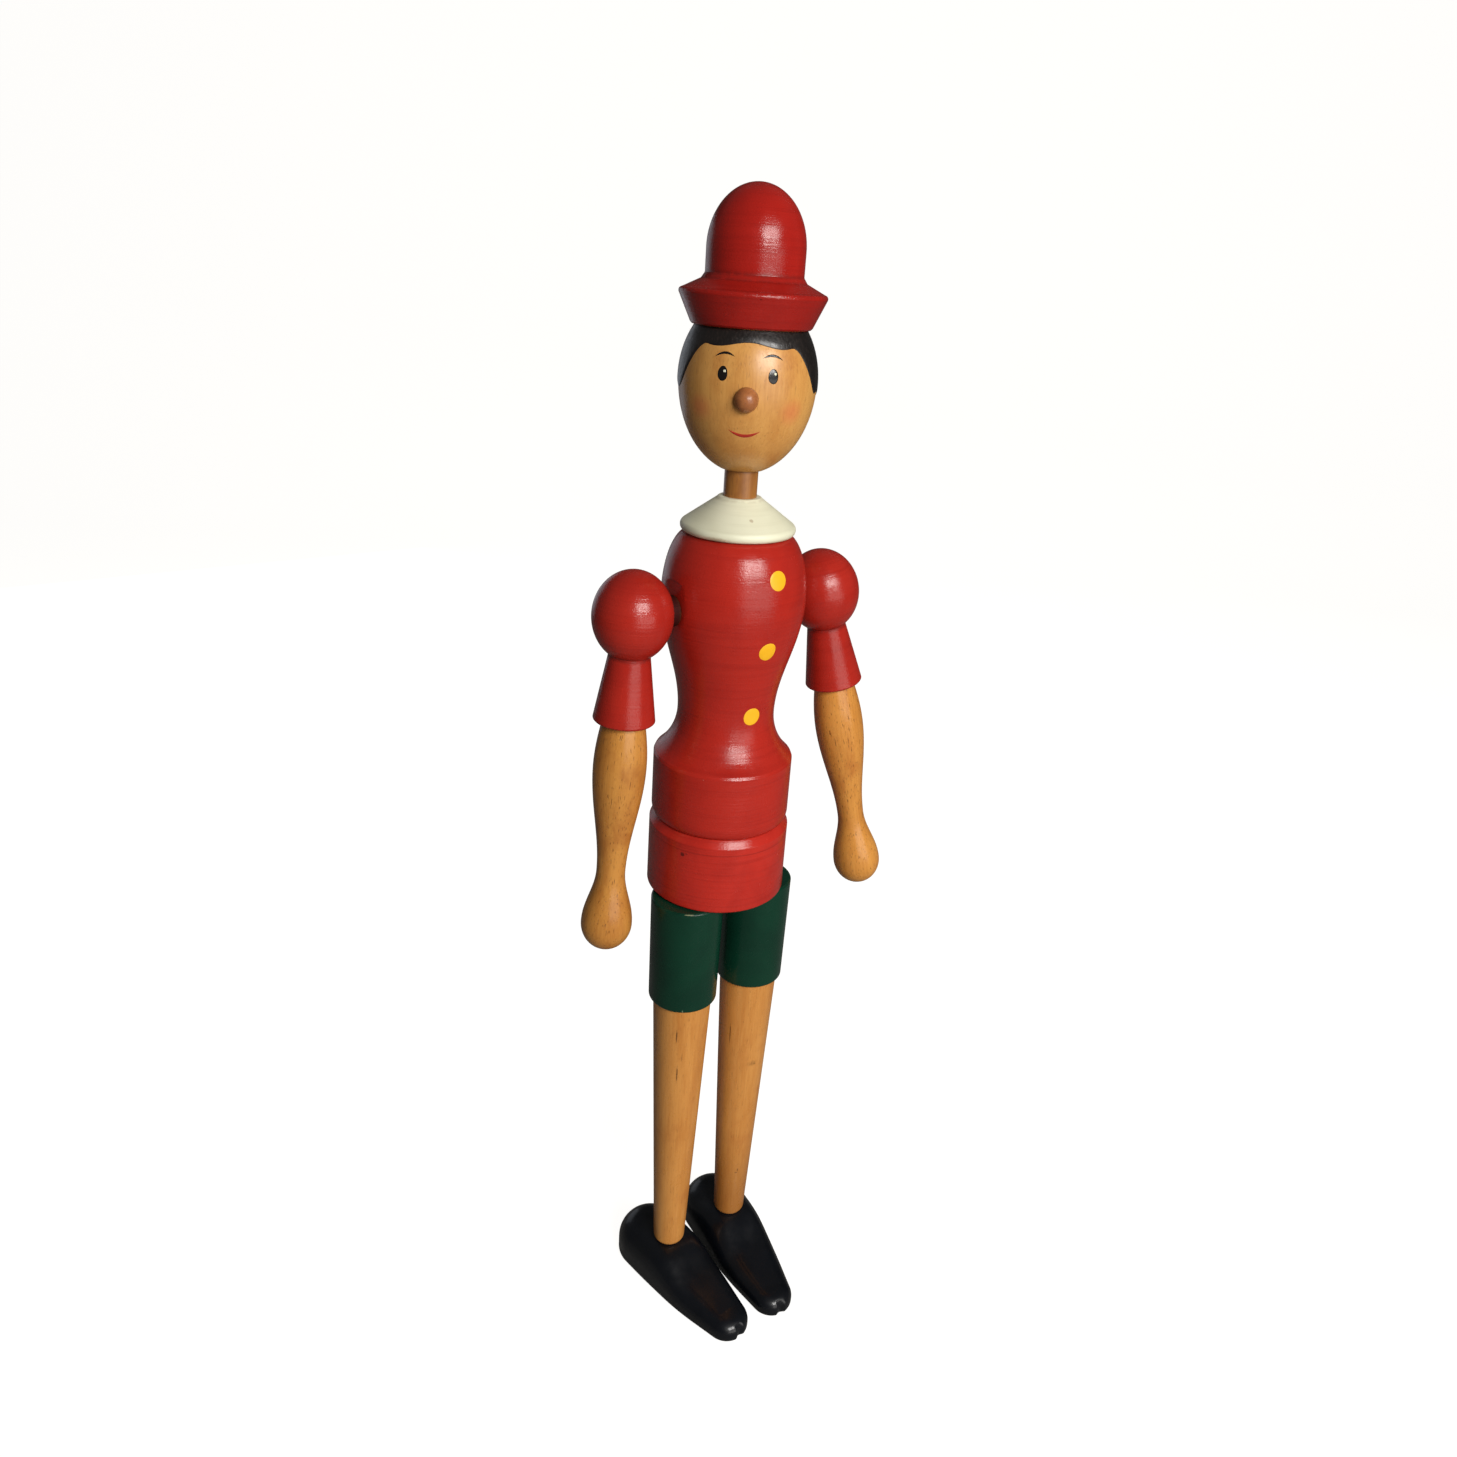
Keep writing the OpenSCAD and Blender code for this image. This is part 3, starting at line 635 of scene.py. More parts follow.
headFoot = spanOf("head")[0]
headShape = Settings(
    wide=29.5, low=37.0, up=21.5, chin=9.3, top=23.3, neckBore=7.51, neckDeep=30.0, web=6.0, well=8.54,
    screwHole=2.6, soft=1.0, shift=23.0)
noseShape = Settings(
    ball=5.0, drop=5.0, shank=2.5, deep=10.0, tip=0.035, tipFrom=84, room=0.04, soft=0.6, shift=71.0)


def headOutline():
    s = headShape
    chinAngle, topAngle = (degrees(acos(s[k] / s.wide)) for k in ("chin", "top"))
    lowSemi, upSemi = s.low / sin(radians(chinAngle)), s.up / sin(radians(topAngle))
    return (bow(0, s.low, s.wide, lowSemi, -chinAngle, 0, 40)
            + bow(0, s.low, s.wide, upSemi, 0, topAngle, 26)[1:])


headLine = headOutline()


def makeHead():
    s = headShape
    deep, floor, top = s.neckDeep, s.neckDeep + s.web, s.low + s.up
    outside = [(s.neckBore, 0)] + headLine + [(s.well, top)]
    inside = [(s.well, floor), (s.screwHole, floor), (s.screwHole, deep), (s.neckBore, deep)]
    return turnedPiece("headTurned", headPlace(headFoot), outside, inside, soft=s.soft)


def nosePlace():
    up = headShape.low - noseShape.drop
    return headPlace(headFoot) @ at(0, -radiusAt(headLine, up), up) @ turned("X", 90)


def noseOutline(room=0.0):
    s = noseShape
    ball, shank = s.ball + room, s.shank + room
    start = -degrees(acos(shank / ball))
    return ([(0, -s.deep - room), (shank, -s.deep - room)]
            + bow(0, 0, ball, ball, start, s.tipFrom, 26) + [(0, ball - (0 if room else s.tip))])


head = makeHead()
cutAway(head, [turnedPiece("cutter", nosePlace(), noseOutline(noseShape.room), around=64)])
cheek = Settings(colour=(206, 92, 62), strength=0.42, soft=0.95, ragged=0.12)
headLook = Settings(woodLook, pale=(212, 156, 84), deep=(190, 130, 64), flecks=0.35, smudges=0.55)
headWood = makeWood("headVarnish", headLook, [
    mark((18.5, -21.0, 27.5), (8.0, 8.0, 7.5), **cheek),
    mark((-18.5, -21.0, 27.5), (8.0, 8.0, 7.5), **cheek),
    mark((-12.0, -24.0, 14.0), (5.0, 5.0, 3.0), (150, 98, 48), strength=0.35, soft=0.9),
    mark((16.0, -22.0, 45.0), (1.2, 1.2, 0.35), (120, 74, 36), strength=0.7)])
finishNode(head, headWood, "head", headShape.shift)

noseLook = Settings(woodLook, pale=(172, 108, 62), deep=(146, 86, 48), flecks=0.7, dull=0.4)
noseWood = makeWood("noseVarnish", noseLook)
nose = turnedPiece("noseButton", nosePlace(), noseOutline(), soft=noseShape.soft, step=0.6, around=64)
finishNode(nose, noseWood, "nose_peg", noseShape.shift)

neckShape = Settings(radius=7.45, pilot=2.04, pilotDeep=12.8, shift=97.0)


def makeNeck():
    s = neckShape
    low, high = spanOf("neck_dowel")
    tall = high - low
    outside = [(0, 0)] + lowEdge(s.radius, 0) + highEdge(s.radius, tall) + [(s.pilot, tall)]
    inside = [(s.pilot, tall - s.pilotDeep), (0, tall - s.pilotDeep)]
    return turnedPiece("neckRod", onAxis(low), outside, inside)


neckLook = Settings(woodLook, pale=(164, 110, 54), deep=(142, 90, 40), flecks=0.6, smudges=0.5)
neckWood = makeWood("neckVarnish", neckLook)
finishNode(makeNeck(), neckWood, "neck_dowel", neckShape.shift)
print("head, nose and neck done")


# Painted dabs and strokes that lie on a turned surface; angle 0 is straight ahead

def overTurning(line, angle, height, lift):
    step = 0.05
    radius = radiusAt(line, height)
    slope = (radiusAt(line, height + step) - radiusAt(line, height - step)) / (2 * step)
    out = Vector((sin(angle), -cos(angle), -slope)).normalized()
    return (Vector((radius * sin(angle), -radius * cos(angle), height)) + out * lift) * mm


def dabMesh(name, line, look):
    rings, around, sunk = 7, 40, -0.3
    bm = bmesh.new()
    turnBy, reach = radians(look.angle), radiusAt(line, look.up)

    def ring(share, lift):
        points = []
        for k in range(around):
            a = 2 * pi * k / around
            wobble = 1 + look.get("wobble", 0.02) * sin(3 * a + look.up)
            dx, dz = look.wide * share * wobble * cos(a), look.tall * share * wobble * sin(a)
            points.append(bm.verts.new(overTurning(line, turnBy + dx / reach, look.up + dz, lift)))
        return points

    def cap(lift):
        return [bm.verts.new(overTurning(line, turnBy, look.up, lift))]

    rows = [cap(look.lift)]
    rows += [ring(i / rings, look.lift * (1 - (i / rings) ** 4) ** 0.5) for i in range(1, rings + 1)]
    rows += [ring(0.96, sunk), ring(0.5, sunk), cap(sunk)]
    skin(bm, zip(rows, rows[1:]))
    return meshFrom(name, bm)


def strokeMesh(name, line, look):
    steps, sunk = 30, -0.25
    bm = bmesh.new()
    turnBy, reach = radians(look.angle), radiusAt(line, look.up)
    rows = []
    for i in range(steps + 1):
        t = i / steps * 2 - 1
        broad = look.thick / 2 * max(0.06, 1 - abs(t) ** 2.6)
        dx, dz = look.wide * t, look.bend * (t * t - 0.5) + look.get("tilt", 0.0) * t
        section = [(-1, 0), (-0.75, 0.7), (0, 1), (0.75, 0.7), (1, 0), (0.7, None), (-0.7, None)]
        row = []
        for side, lift in section:
            up = look.up + dz + side * broad
            high = sunk if lift is None else look.lift * lift * min(1.0, broad / (look.thick / 4))
            row.append(bm.verts.new(overTurning(line, turnBy + dx / reach, up, high)))
        rows.append(row)
    skin(bm, zip(rows, rows[1:]))
    bm.faces.new(rows[0])
    bm.faces.new(rows[-1][::-1])
    return meshFrom(name, bm)


# Face and hair of the doll's own: dot eyes, fine brows, a small calm mouth

face = Settings(
    eyeAngle=20.5, eyeUp=41.5, eyeWide=2.1, eyeTall=2.9, lift=0.14, glintWide=0.6, glintAside=1.6,
    glintRise=1.0, glintLift=1.7, browUp=48.6, browWide=4.3, browBend=-1.5, browThick=0.95, browTilt=-0.3,
    mouthUp=18.5, mouthWide=6.6, mouthBend=2.2, mouthThick=1.35)


def makeFace():
    f, clean = face, {"rubbed": 0.0, "dirty": 0.0, "relief": 0.02}
    ink = makePaint("eyeInk", Settings(blackLook, colour=(24, 20, 19), deep=(18, 15, 14), smooth=0.2,
                                       dull=0.3, **clean))
    lip = makePaint("lipPaint", Settings(redLook, colour=(176, 48, 36), deep=(150, 38, 30), **clean))
    glint = makePaint("glintPaint", Settings(creamLook, **clean))

    def add(name, mesh, paint, slot):
        finishPiece(placed(name, mesh, headPlace(headFoot)), paint, bodyOf["head"])

    for side, word in sides[::-1]:
        eye = Settings(angle=side * f.eyeAngle, up=f.eyeUp, wide=f.eyeWide, tall=f.eyeTall, lift=f.lift)
        star = Settings(angle=eye.angle + f.glintAside, up=eye.up + f.glintRise, wide=f.glintWide,
                        tall=f.glintWide, lift=f.lift * f.glintLift)
        brow = Settings(angle=eye.angle, up=f.browUp, wide=f.browWide, bend=f.browBend, thick=f.browThick,
                        lift=f.lift, tilt=f.browTilt * side)
        add("eye" + word, dabMesh("eye", headLine, eye), ink, "black_paint")
        add("glint" + word, dabMesh("glint", headLine, star), glint, "cream_paint")
        add("brow" + word, strokeMesh("brow", headLine, brow), ink, "black_paint")
    mouth = Settings(angle=0.0, up=f.mouthUp, wide=f.mouthWide, bend=f.mouthBend, thick=f.mouthThick,
                     lift=f.lift)
    add("mouth", strokeMesh("mouth", headLine, mouth), lip, "red_paint")


hairShape = Settings(
    fringe=52.6, fringeWave=1.0, fringeWaves=6, temple=34.0, nape=20.0, templeFrom=40, templeTo=74,
    napeFrom=88, napeTo=128, wave=1.1, waves=15, waveFrom=60, waveTo=90, lift=0.42, sunk=0.3, underHat=0.5,
    crowding=1.6, edgeRun=2.0, rows=14, around=144, shift=51.0)


def ease(value, low, high):
    t = min(1.0, max(0.0, (value - low) / (high - low)))
    return t * t * (3 - 2 * t)


def hairline(angle):
    s, wide = hairShape, abs(angle)
    line = s.fringe + s.fringeWave * cos(radians(angle * s.fringeWaves))
    line += (s.temple - line) * ease(wide, s.templeFrom, s.templeTo)
    line += (s.nape - line) * ease(wide, s.napeFrom, s.napeTo)
    return line + s.wave * sin(radians(angle * s.waves)) * ease(wide, s.waveFrom, s.waveTo)


def makeHair():
    s = hairShape
    top = headShape.low + headShape.up - s.underHat
    bm = bmesh.new()
    columns = []
    for k in range(s.around):
        degree = -180 + 360 * k / s.around
        foot, angle = hairline(degree), radians(degree)
        column = []
        for i in range(s.rows + 1):
            up = foot + (top - foot) * (i / s.rows) ** s.crowding
            lift = s.lift * min(1.0, (up - foot) / s.edgeRun) ** 0.5
            column.append(bm.verts.new(overTurning(headLine, angle, up, lift)))
        column += [bm.verts.new(overTurning(headLine, angle, up, -s.sunk))
                   for up in (top, (top + foot) / 2, foot)]
        columns.append(column)
    skin(bm, zip(columns, columns[1:] + columns[:1]))
    return placed("hairPaint", meshFrom("hairPaint", bm), headPlace(headFoot))


def makeHairPaint():
    material, tree, shader = startFinish("hairBrushed")
    coat = useGroup(tree, paintCoat, Colour=(26, 21, 19), Deep=(16, 13, 12), Drift=0.7, Rings=0.0)
    strand = drawn(tree, inMillimetres(tree), 1.4, 0.07, detail=3.0, rough=0.6, warp=0.3)
    colour = tint(tree, between(tree, strand, 0.5, 0.75, 0.0, 0.7), coat["Colour"], (48, 38, 32))
    rough = between(tree, strand, 0.3, 0.7, 0.28, 0.46)
    setShader(tree, shader, colour, rough, strand, 0.14, Coat_Weight=0.25, Coat_Roughness=0.2)
    return material


makeFace()
finishPiece(makeHair(), makeHairPaint(), bodyOf["head"], shift=hairShape.shift)
print("face and hair done")


# Collar

collarShape = Settings(
    foot=23.0, rim=26.0, rimUp=5.0, tall=16.0, top=10.3, arc=(-60, 55), bore=7.49, soft=0.6, shift=131.0)


def makeCollar():
    s = collarShape
    half = s.rimUp / 2
    outside = ([(s.bore, 0), (s.foot, 0)] + bow(s.rim - half, half, half, half, *s.arc)
               + highEdge(s.top, s.tall) + [(s.bore, s.tall)])
    return turnedPiece("collarRing", onAxis(spanOf("collar")[0]), outside, soft=s.soft)


creamPaint = makePaint("creamCollarPaint", creamLook, [
    mark((-21.0, -14.0, 1.0), (9.0, 7.0, 1.6), (150, 128, 92), strength=0.5, soft=0.7),
    mark((6.0, -25.0, 0.6), (12.0, 4.0, 1.0), (176, 158, 118), strength=0.35, soft=0.7),
    mark((-6.0, -18.0, 9.0), (1.0, 1.4, 0.8), (172, 150, 116), strength=0.6)])
finishNode(makeCollar(), creamPaint, "collar", collarShape.shift)


# Jacket: one vase-shaped turning with three painted dots

jacketFoot, jacketTop = spanOf("torso")
jacketShape = Settings(
    band=33.7, bandTall=32.5, footIn=2.4, footTall=4.6, waist=23.1, cove=29.0, chestRise=55.0, chest=33.3,
    shoulderRise=30.0, top=22.0, dowelBore=8.04, dowelDeep=33.0, neckBore=7.49, neckDeep=19.0,
    shoulderDrop=33.0, flat=1.2, flatReach=14.0, pegBore=6.06, soft=0.6, shift=151.0)
dotShape = Settings(wide=4.25, tall=4.25, lift=0.16, wobble=0.015)
dotPlaces = [(1.0, 417.6), (-3.0, 385.2), (-4.0, 351.2)]  # degrees from straight ahead, height


def jacketOutline():
    s = jacketShape
    coveAngle = degrees(acos(1 - (s.band - s.waist) / s.cove))
    waistUp = s.bandTall + s.cove * sin(radians(coveAngle))
    chestUp = waistUp + s.chestRise
    edge = degrees(asin(broken / s.cove))
    return (bow(s.band - s.footIn, s.footTall, s.footIn, s.footTall, -90, 0, 14)
            + [(s.band, s.bandTall - broken)]
            + bow(s.waist + s.cove, waistUp, -s.cove, -s.cove, coveAngle - edge, 0, 24)
            + sway(s.waist, waistUp, s.chest, chestUp, 44)[1:]
            + bow(s.top, chestUp, s.chest - s.top, s.shoulderRise, 0, 90, 30)[1:])


jacketLine = jacketOutline()


def makeJacket():
    s, tall = jacketShape, jacketTop - jacketFoot
    outside = [(s.dowelBore, 0)] + jacketLine + [(s.neckBore, tall)]
    inside = [(s.neckBore, tall - s.neckDeep), (0, tall - s.neckDeep)]
    start = [(0, s.dowelDeep), (s.dowelBore, s.dowelDeep)]
    piece = turnedPiece("jacketBody", onAxis(jacketFoot), start + outside, inside, soft=s.soft)
    across = onAxis(jacketTop - s.shoulderDrop)
    flatOut = s.chest - s.flat
    cutters = [rodCutter(s.pegBore, -s.chest - past, s.chest + past, across @ turned("Y", 90))]
    cutters += [rodCutter(s.flatReach, flatOut, flatOut + 4 * past, across @ turned("Y", side * 90))
                for side in (-1, 1)]
    cutAway(piece, cutters)
    return piece


redJacket = makePaint("redJacketPaint", redLook, [
    mark((-4.5, -32.4, 113.9), (0.5, 0.5, 0.5), (236, 190, 176)),
    mark((-14.0, -29.0, 9.5), (0.9, 0.9, 0.35), (110, 20, 17)),
    mark((10.0, -29.5, 99.5), (0.4, 0.4, 0.7), (120, 22, 18))])
finishNode(makeJacket(), redJacket, "torso", jacketShape.shift)

yellowPaint = makePaint("yellowDotPaint", yellowLook)
for number, (angle, height) in enumerate(dotPlaces, 1):
    dab = dabMesh("jacketDot", jacketLine, Settings(dotShape, angle=angle, up=height - jacketFoot))
    finishPiece(placed("jacketDot%d" % number, dab, onAxis(jacketFoot)), yellowPaint, bodyOf["torso"],
                shift=number * 13.0)
print("collar, jacket and dots done")


# Hips

hipFoot, hipTop = spanOf("hip_block")
hipShape = Settings(
    wide=34.5, chamfer=2.6, chamferTall=3.8, dowelBore=8.06, well=10.1, wellDeep=13.0, floor=17.0,
    pegBore=5.06, legWell=7.6, soft=0.7, shift=173.0)
legTurn = {1: -5.0, -1: 8.0}  # degrees toes-in, as the photo's shoes stand


def legPlace(side, z=0.0):
    middle = middleOf("thigh_" + dict(sides)[side].lower())
    return at(middle.x, middle.y, z) @ turned("Z", legTurn[side])


def makeHips():
    s, tall = hipShape, hipTop - hipFoot
    outside = [(s.well, 0)] + lowEdge(s.wide, 0) + [
        (s.wide, tall - s.chamferTall), (s.wide - s.chamfer, tall), (s.dowelBore, tall)]
    inside = [(s.dowelBore, s.wellDeep), (s.well, s.wellDeep)]
    piece = turnedPiece("hipDisc", onAxis(hipFoot), outside, inside, soft=s.soft)
    cutters = []
    for side in (-1, 1):
        cutters.append(rodCutter(s.pegBore, -past, tall, legPlace(side, hipFoot)))
        cutters.append(rodCutter(s.legWell, s.floor, tall + past, legPlace(side, hipFoot)))
    cutAway(piece, cutters)
    return piece


# the hips' red is painted lighter than the jacket's: painted light for the lower body
redHips = makePaint("redHipPaint", Settings(redLook, colour=(187, 43, 32)), [
    mark((-30.4, -15.2, 29.4), (1.5, 1.5, 1.3), (84, 22, 18), strength=0.85),
    mark((-29.4, -17.0, 30.2), (0.9, 0.9, 0.5), (96, 24, 20), strength=0.8),
    # a faint dark ring round the hips below the chamfer: painted shade of a scored line
    mark((0.0, 0.0, 31.7), (900.0, 900.0, 0.4), (128, 24, 18), strength=0.4)])
finishNode(makeHips(), redHips, "hip_block", hipShape.shift)
print("hips done")


# Arms

armShape = Settings(
    ball=18.0, ballTall=20.5, crease=9.5, hem=14.2, sleeve=31.5, hemRecess=3.5, hemBore=10.0, pegBore=4.04,
    pegDeep=15.0, flat=1.5, outX=53.0, shoulderPegBore=5.04, shoulderPegDeep=18.0, soft=0.7,
    splay={1: 12.0, -1: 3.0}, swing={1: 5.0, -1: -1.0}, shift={1: 191.0, -1: 211.0})
forearmShape = Settings(
    elbow=9.2, swell=12.3, wrist=6.9, hand=12.4, toSwell=27.0, toWrist=54.0, toHand=29.0, handEnd=13.5,
    soft=0.7, shift={1: 233.0, -1: 251.0})
armStep = 1.2  # length of a face along the arm
shoulderUp = jacketTop - jacketShape.shoulderDrop
creaseDown = armShape.ballTall * sqrt(1 - (armShape.crease / armShape.ball) ** 2)
hemDown = creaseDown + armShape.sleeve
elbowDown = hemDown - armShape.hemRecess


def shoulderPlace(side):
    return at(axisX + side * armShape.outX, axisY, shoulderUp) @ turned("X", -armShape.swing[side])


def armPlace(side):
    return shoulderPlace(side) @ turned("Y", -side * armShape.splay[side])


def makeSleeve(side, word):
    s = armShape
    start = [(0, -elbowDown + s.pegDeep), (s.pegBore, -elbowDown + s.pegDeep), (s.pegBore, -elbowDown)]
    hem = [(s.hemBore, -elbowDown), (s.hemBore, -hemDown)] + lowEdge(s.hem, -hemDown)
    hem.append((s.crease, -creaseDown - broken))
    ball = bow(0, 0, s.ball, s.ballTall, -degrees(asin(creaseDown / s.ballTall)), 90, 44)
    piece = turnedPiece("sleeve" + word, armPlace(side), start + hem + ball, soft=s.soft, step=armStep)
    inward = shoulderPlace(side) @ turned("Y", -side * 90)  # its Z points at the body
    flatAt = s.ball - s.flat
    cutAway(piece, [rodCutter(s.ballTall, flatAt, flatAt + 4 * past, inward),
                    rodCutter(s.shoulderPegBore, flatAt - s.shoulderPegDeep, flatAt + past, inward)])
    return piece


def makeForearm(side, word):
    s = forearmShape
    swellDown = elbowDown + s.toSwell
    wristDown = swellDown + s.toWrist
    handDown = wristDown + s.toHand
    outside = (bow(0, -handDown, s.hand, s.handEnd, -90, 0, 24)
               + sway(s.hand, -handDown, s.wrist, -wristDown)[1:]
               + sway(s.wrist, -wristDown, s.swell, -swellDown, 40)[1:]
               + swell(s.elbow, -elbowDown - broken, s.swell, -swellDown)[-2::-1]
               + [(s.elbow - broken, -elbowDown), (armShape.pegBore, -elbowDown)])
    inside = [(armShape.pegBore, -elbowDown - armShape.pegDeep), (0, -elbowDown - armShape.pegDeep)]
    return turnedPiece("forearm" + word, armPlace(side), outside, inside, soft=s.soft, step=armStep,
                       around=72)


pegShape = Settings(
    radius=6.0, bead=7.0, ballPeg=5.0, ballDeep=17.0, halfGap=12.0, cordBore=2.6, cordDeep=11.0, gap=4.4,
    running=0.2, soft=0.5, shift={1: 391.0, -1: 401.0})


def makeShoulderPeg(side, word):  # one turning: thick in the jacket, a bead in the gap, thinner in the ball
    s = pegShape
    flatAt = jacketShape.chest - jacketShape.flat
    ballAt = flatAt + s.gap
    tip = ballAt + s.ballDeep
    outside = [(s.cordBore, s.halfGap)] + lowEdge(s.radius, s.halfGap) + [
        (s.radius, flatAt + s.running), (s.bead, flatAt + s.running), (s.bead, ballAt - seam),
        (s.ballPeg, ballAt - seam)] + highEdge(s.ballPeg, tip) + [(0, tip)]
    start = [(0, s.halfGap + s.cordDeep), (s.cordBore, s.halfGap + s.cordDeep)]
    across = shoulderPlace(side) @ at(-side * armShape.outX, 0, 0) @ turned("Y", side * 90)
    return turnedPiece("shoulderPeg" + word, across, start + outside, soft=s.soft, around=64)


# the peg wood is painted near-black red so its bead reads as the shade in the gap between ball and jacket:
# painted shade
gapShadeWood = makeWood("gapShadePegWood", Settings(
    woodLook, pale=(54, 13, 10), deep=(40, 10, 8), pore=(24, 8, 7), rubbed=0.0, smooth=0.6, dull=0.75,
    specular=0.1))
redSleeve = makePaint("redSleevePaint", Settings(redLook, colour=(171, 39, 28), deep=(148, 28, 21)))
armLook = Settings(woodLook, flecks=0.85, smudges=0.45, smooth=0.2, dull=0.34)
# the doll's left forearm, on the lamp side, is painted paler than its right: painted light and shade on one
# wood
armLightShadeTones = {1: Settings(pale=(216, 150, 70), deep=(188, 120, 50)),
            -1: Settings(pale=(200, 138, 64), deep=(172, 107, 43))}
for side, word in sides:
    armWood = makeWood("forearmVarnish" + word, Settings(armLook, **armLightShadeTones[side]))
    finishSide(side, makeSleeve, redSleeve, "upper_arm_", armShape)
    finishSide(side, makeShoulderPeg, gapShadeWood, "shoulder_peg_", pegShape)
    finishSide(side, makeForearm, armWood, "forearm_", forearmShape)
print("arms done")


# Legs

thighShape = Settings(
    low=17.5, top=18.2, shinBore=9.04, shinDeep=23.0, pegBore=5.04, pegDeep=25.0, soft=0.8,
    shift={1: 271.0, -1: 293.0})
shinShape = Settings(
    ankle=8.8, footRound=3.2, footTenon=6.0, knee=15.1, tenon=9.0, soft=0.7, shift={1: 311.0, -1: 331.0})
heelTop = 24.0
shinFoot, shinTop = spanOf("shin_left")
thighFoot, thighTop = spanOf("thigh_left")


def makeThigh(side, word):
    s, tall = thighShape, thighTop - thighFoot
    outside = ([(0, s.shinDeep), (s.shinBore, s.shinDeep), (s.shinBore, 0)]
               + lowEdge(s.low, 0) + highEdge(s.top, tall) + [(s.pegBore, tall)])
    inside = [(s.pegBore, tall - s.pegDeep), (0, tall - s.pegDeep)]
    return turnedPiece("thigh" + word, legPlace(side, thighFoot), outside, inside, soft=s.soft)


def makeShin(side, word):
    s, bend = shinShape, shinShape.footRound
    outside = ([(0, shinFoot)] + lowEdge(s.footTenon, shinFoot) + [(s.footTenon, heelTop)]
               + bow(s.ankle - bend, heelTop + bend, bend, bend, -90, 0, 10)
               + [(s.knee, thighFoot - seam), (s.tenon, thighFoot - seam)]
               + highEdge(s.tenon, shinTop) + [(0, shinTop)])
    return turnedPiece("shin" + word, legPlace(side), outside, soft=s.soft, around=80)


legLook = Settings(woodLook, pale=(212, 148, 76), deep=(190, 122, 54), flecks=0.3)
streak = Settings(colour=(92, 54, 24), ragged=0.5, soft=0.5)


def streakAndShadeAt(centre, reach, **changes):
    return mark(centre, reach, **Settings(streak, **changes))


# the long dark strip on the inside of the left thigh, facing the other leg, is painted shade; the right
# thigh's pale marks are paint chips
thighMarks = {1: [mark((-17.0, -3.0, 26.0), (1.2, 1.2, 18.0), (8, 30, 22), strength=0.6)],
              -1: [mark((-10.9, -13.6, 58.5), (2.6, 2.6, 0.3), (150, 150, 116), strength=0.6),
                   mark((-11.4, -13.3, 1.4), (0.35, 0.35, 0.9), (140, 156, 128), strength=0.6)]}
shinMarks = {1: [streakAndShadeAt((-12.3, -6.3, 158.5), (0.4, 0.4, 13.0), strength=0.8),
                 streakAndShadeAt((-0.9, -13.1, 140.4), (4.0, 4.0, 2.6), strength=0.32, soft=0.9, ragged=1.0),
                 streakAndShadeAt((0.6, -13.0, 139.6), (1.4, 1.4, 0.8), strength=0.4, soft=0.8),
                 streakAndShadeAt((-2.2, -9.9, 61.2), (0.5, 0.5, 1.5), strength=0.75, ragged=0.8),
                 streakAndShadeAt((-2.9, -9.6, 59.3), (1.1, 1.1, 0.55), strength=0.75, ragged=0.8),
                 # a broad soft darkening over the lower part of the left shin: painted shade, not a streak
                 streakAndShadeAt((0.0, 0.0, 34.0), (40.0, 40.0, 62.0), colour=(150, 92, 40), strength=0.6, soft=0.9,
                          ragged=0.2)],
             -1: [streakAndShadeAt((-11.0, -9.6, 176.5), (0.45, 0.45, 6.0)),
                  streakAndShadeAt((-9.6, -9.8, 149.5), (0.5, 0.5, 10.0)),
                  streakAndShadeAt((-8.2, -11.4, 163.0), (0.3, 0.3, 4.0), strength=0.6),
                  streakAndShadeAt((2.0, -12.6, 120.0), (0.35, 0.35, 7.0), strength=0.5)]}
for side, word in sides:
    green = makePaint("greenThighPaint" + word, greenLook, thighMarks[side])
    wood = makeWood("shinVarnish" + word, legLook, shinMarks[side])
    finishSide(side, makeThigh, green, "thigh_", thighShape)
    finishSide(side, makeShin, wood, "shin_", shinShape)
print("legs done")


# Shoes: carved over a heel, an ankle, an instep and a toe, with a notch in the tip

shoeShape = Settings(
    stations=[(-16.5, 18.25, 23.4), (7.0, 17.7, 24.0), (26.5, 16.3, 15.6), (51.0, 12.0, 11.5)], wall=0.42,
    dome=0.58, crown=0.35, soleRound=3.0, notchDeep=1.5, notchWide=2.8, soleShares=(0.0, 0.5, 0.85),
    topShares=(0.36, 0.26, 0.16, 0.08, 0.0), tipFrom=0.75, tipRub=0.8, rubFrom=0.85, notchFrom=0.7,
    notchDark=0.3, merge=0.02, sliver=0.005, ankleBore=6.04, boreFrom=8.0, sideSteps=48, arcSteps=56,
    shift={1: 353.0, -1: 373.0})


def through(which, x):  # smooth curve through the stations (ahead, half width, height), and its slope
    places = [(s[0], s[which]) for s in shoeShape.stations]
    slopes = [0.0] + [(c[1] - a[1]) / (c[0] - a[0]) for a, c in zip(places, places[2:])]
    slopes.append((places[-1][1] - places[-2][1]) / (places[-1][0] - places[-2][0]))
    i = max(k for k in range(len(places) - 1) if k == 0 or x >= places[k][0])
    (x0, f0), (x1, f1) = places[i], places[i + 1]
    run = x1 - x0
    t, m0, m1 = (x - x0) / run, slopes[i] * run, slopes[i + 1] * run
    value = ((2 * t ** 3 - 3 * t * t + 1) * f0 + (t ** 3 - 2 * t * t + t) * m0
             + (3 * t * t - 2 * t ** 3) * f1 + (t ** 3 - t * t) * m1)
    slope = ((6 * t * t - 6 * t) * (f0 - f1) + (3 * t * t - 4 * t + 1) * m0 + (3 * t * t - 2 * t) * m1) / run
    return value, slope


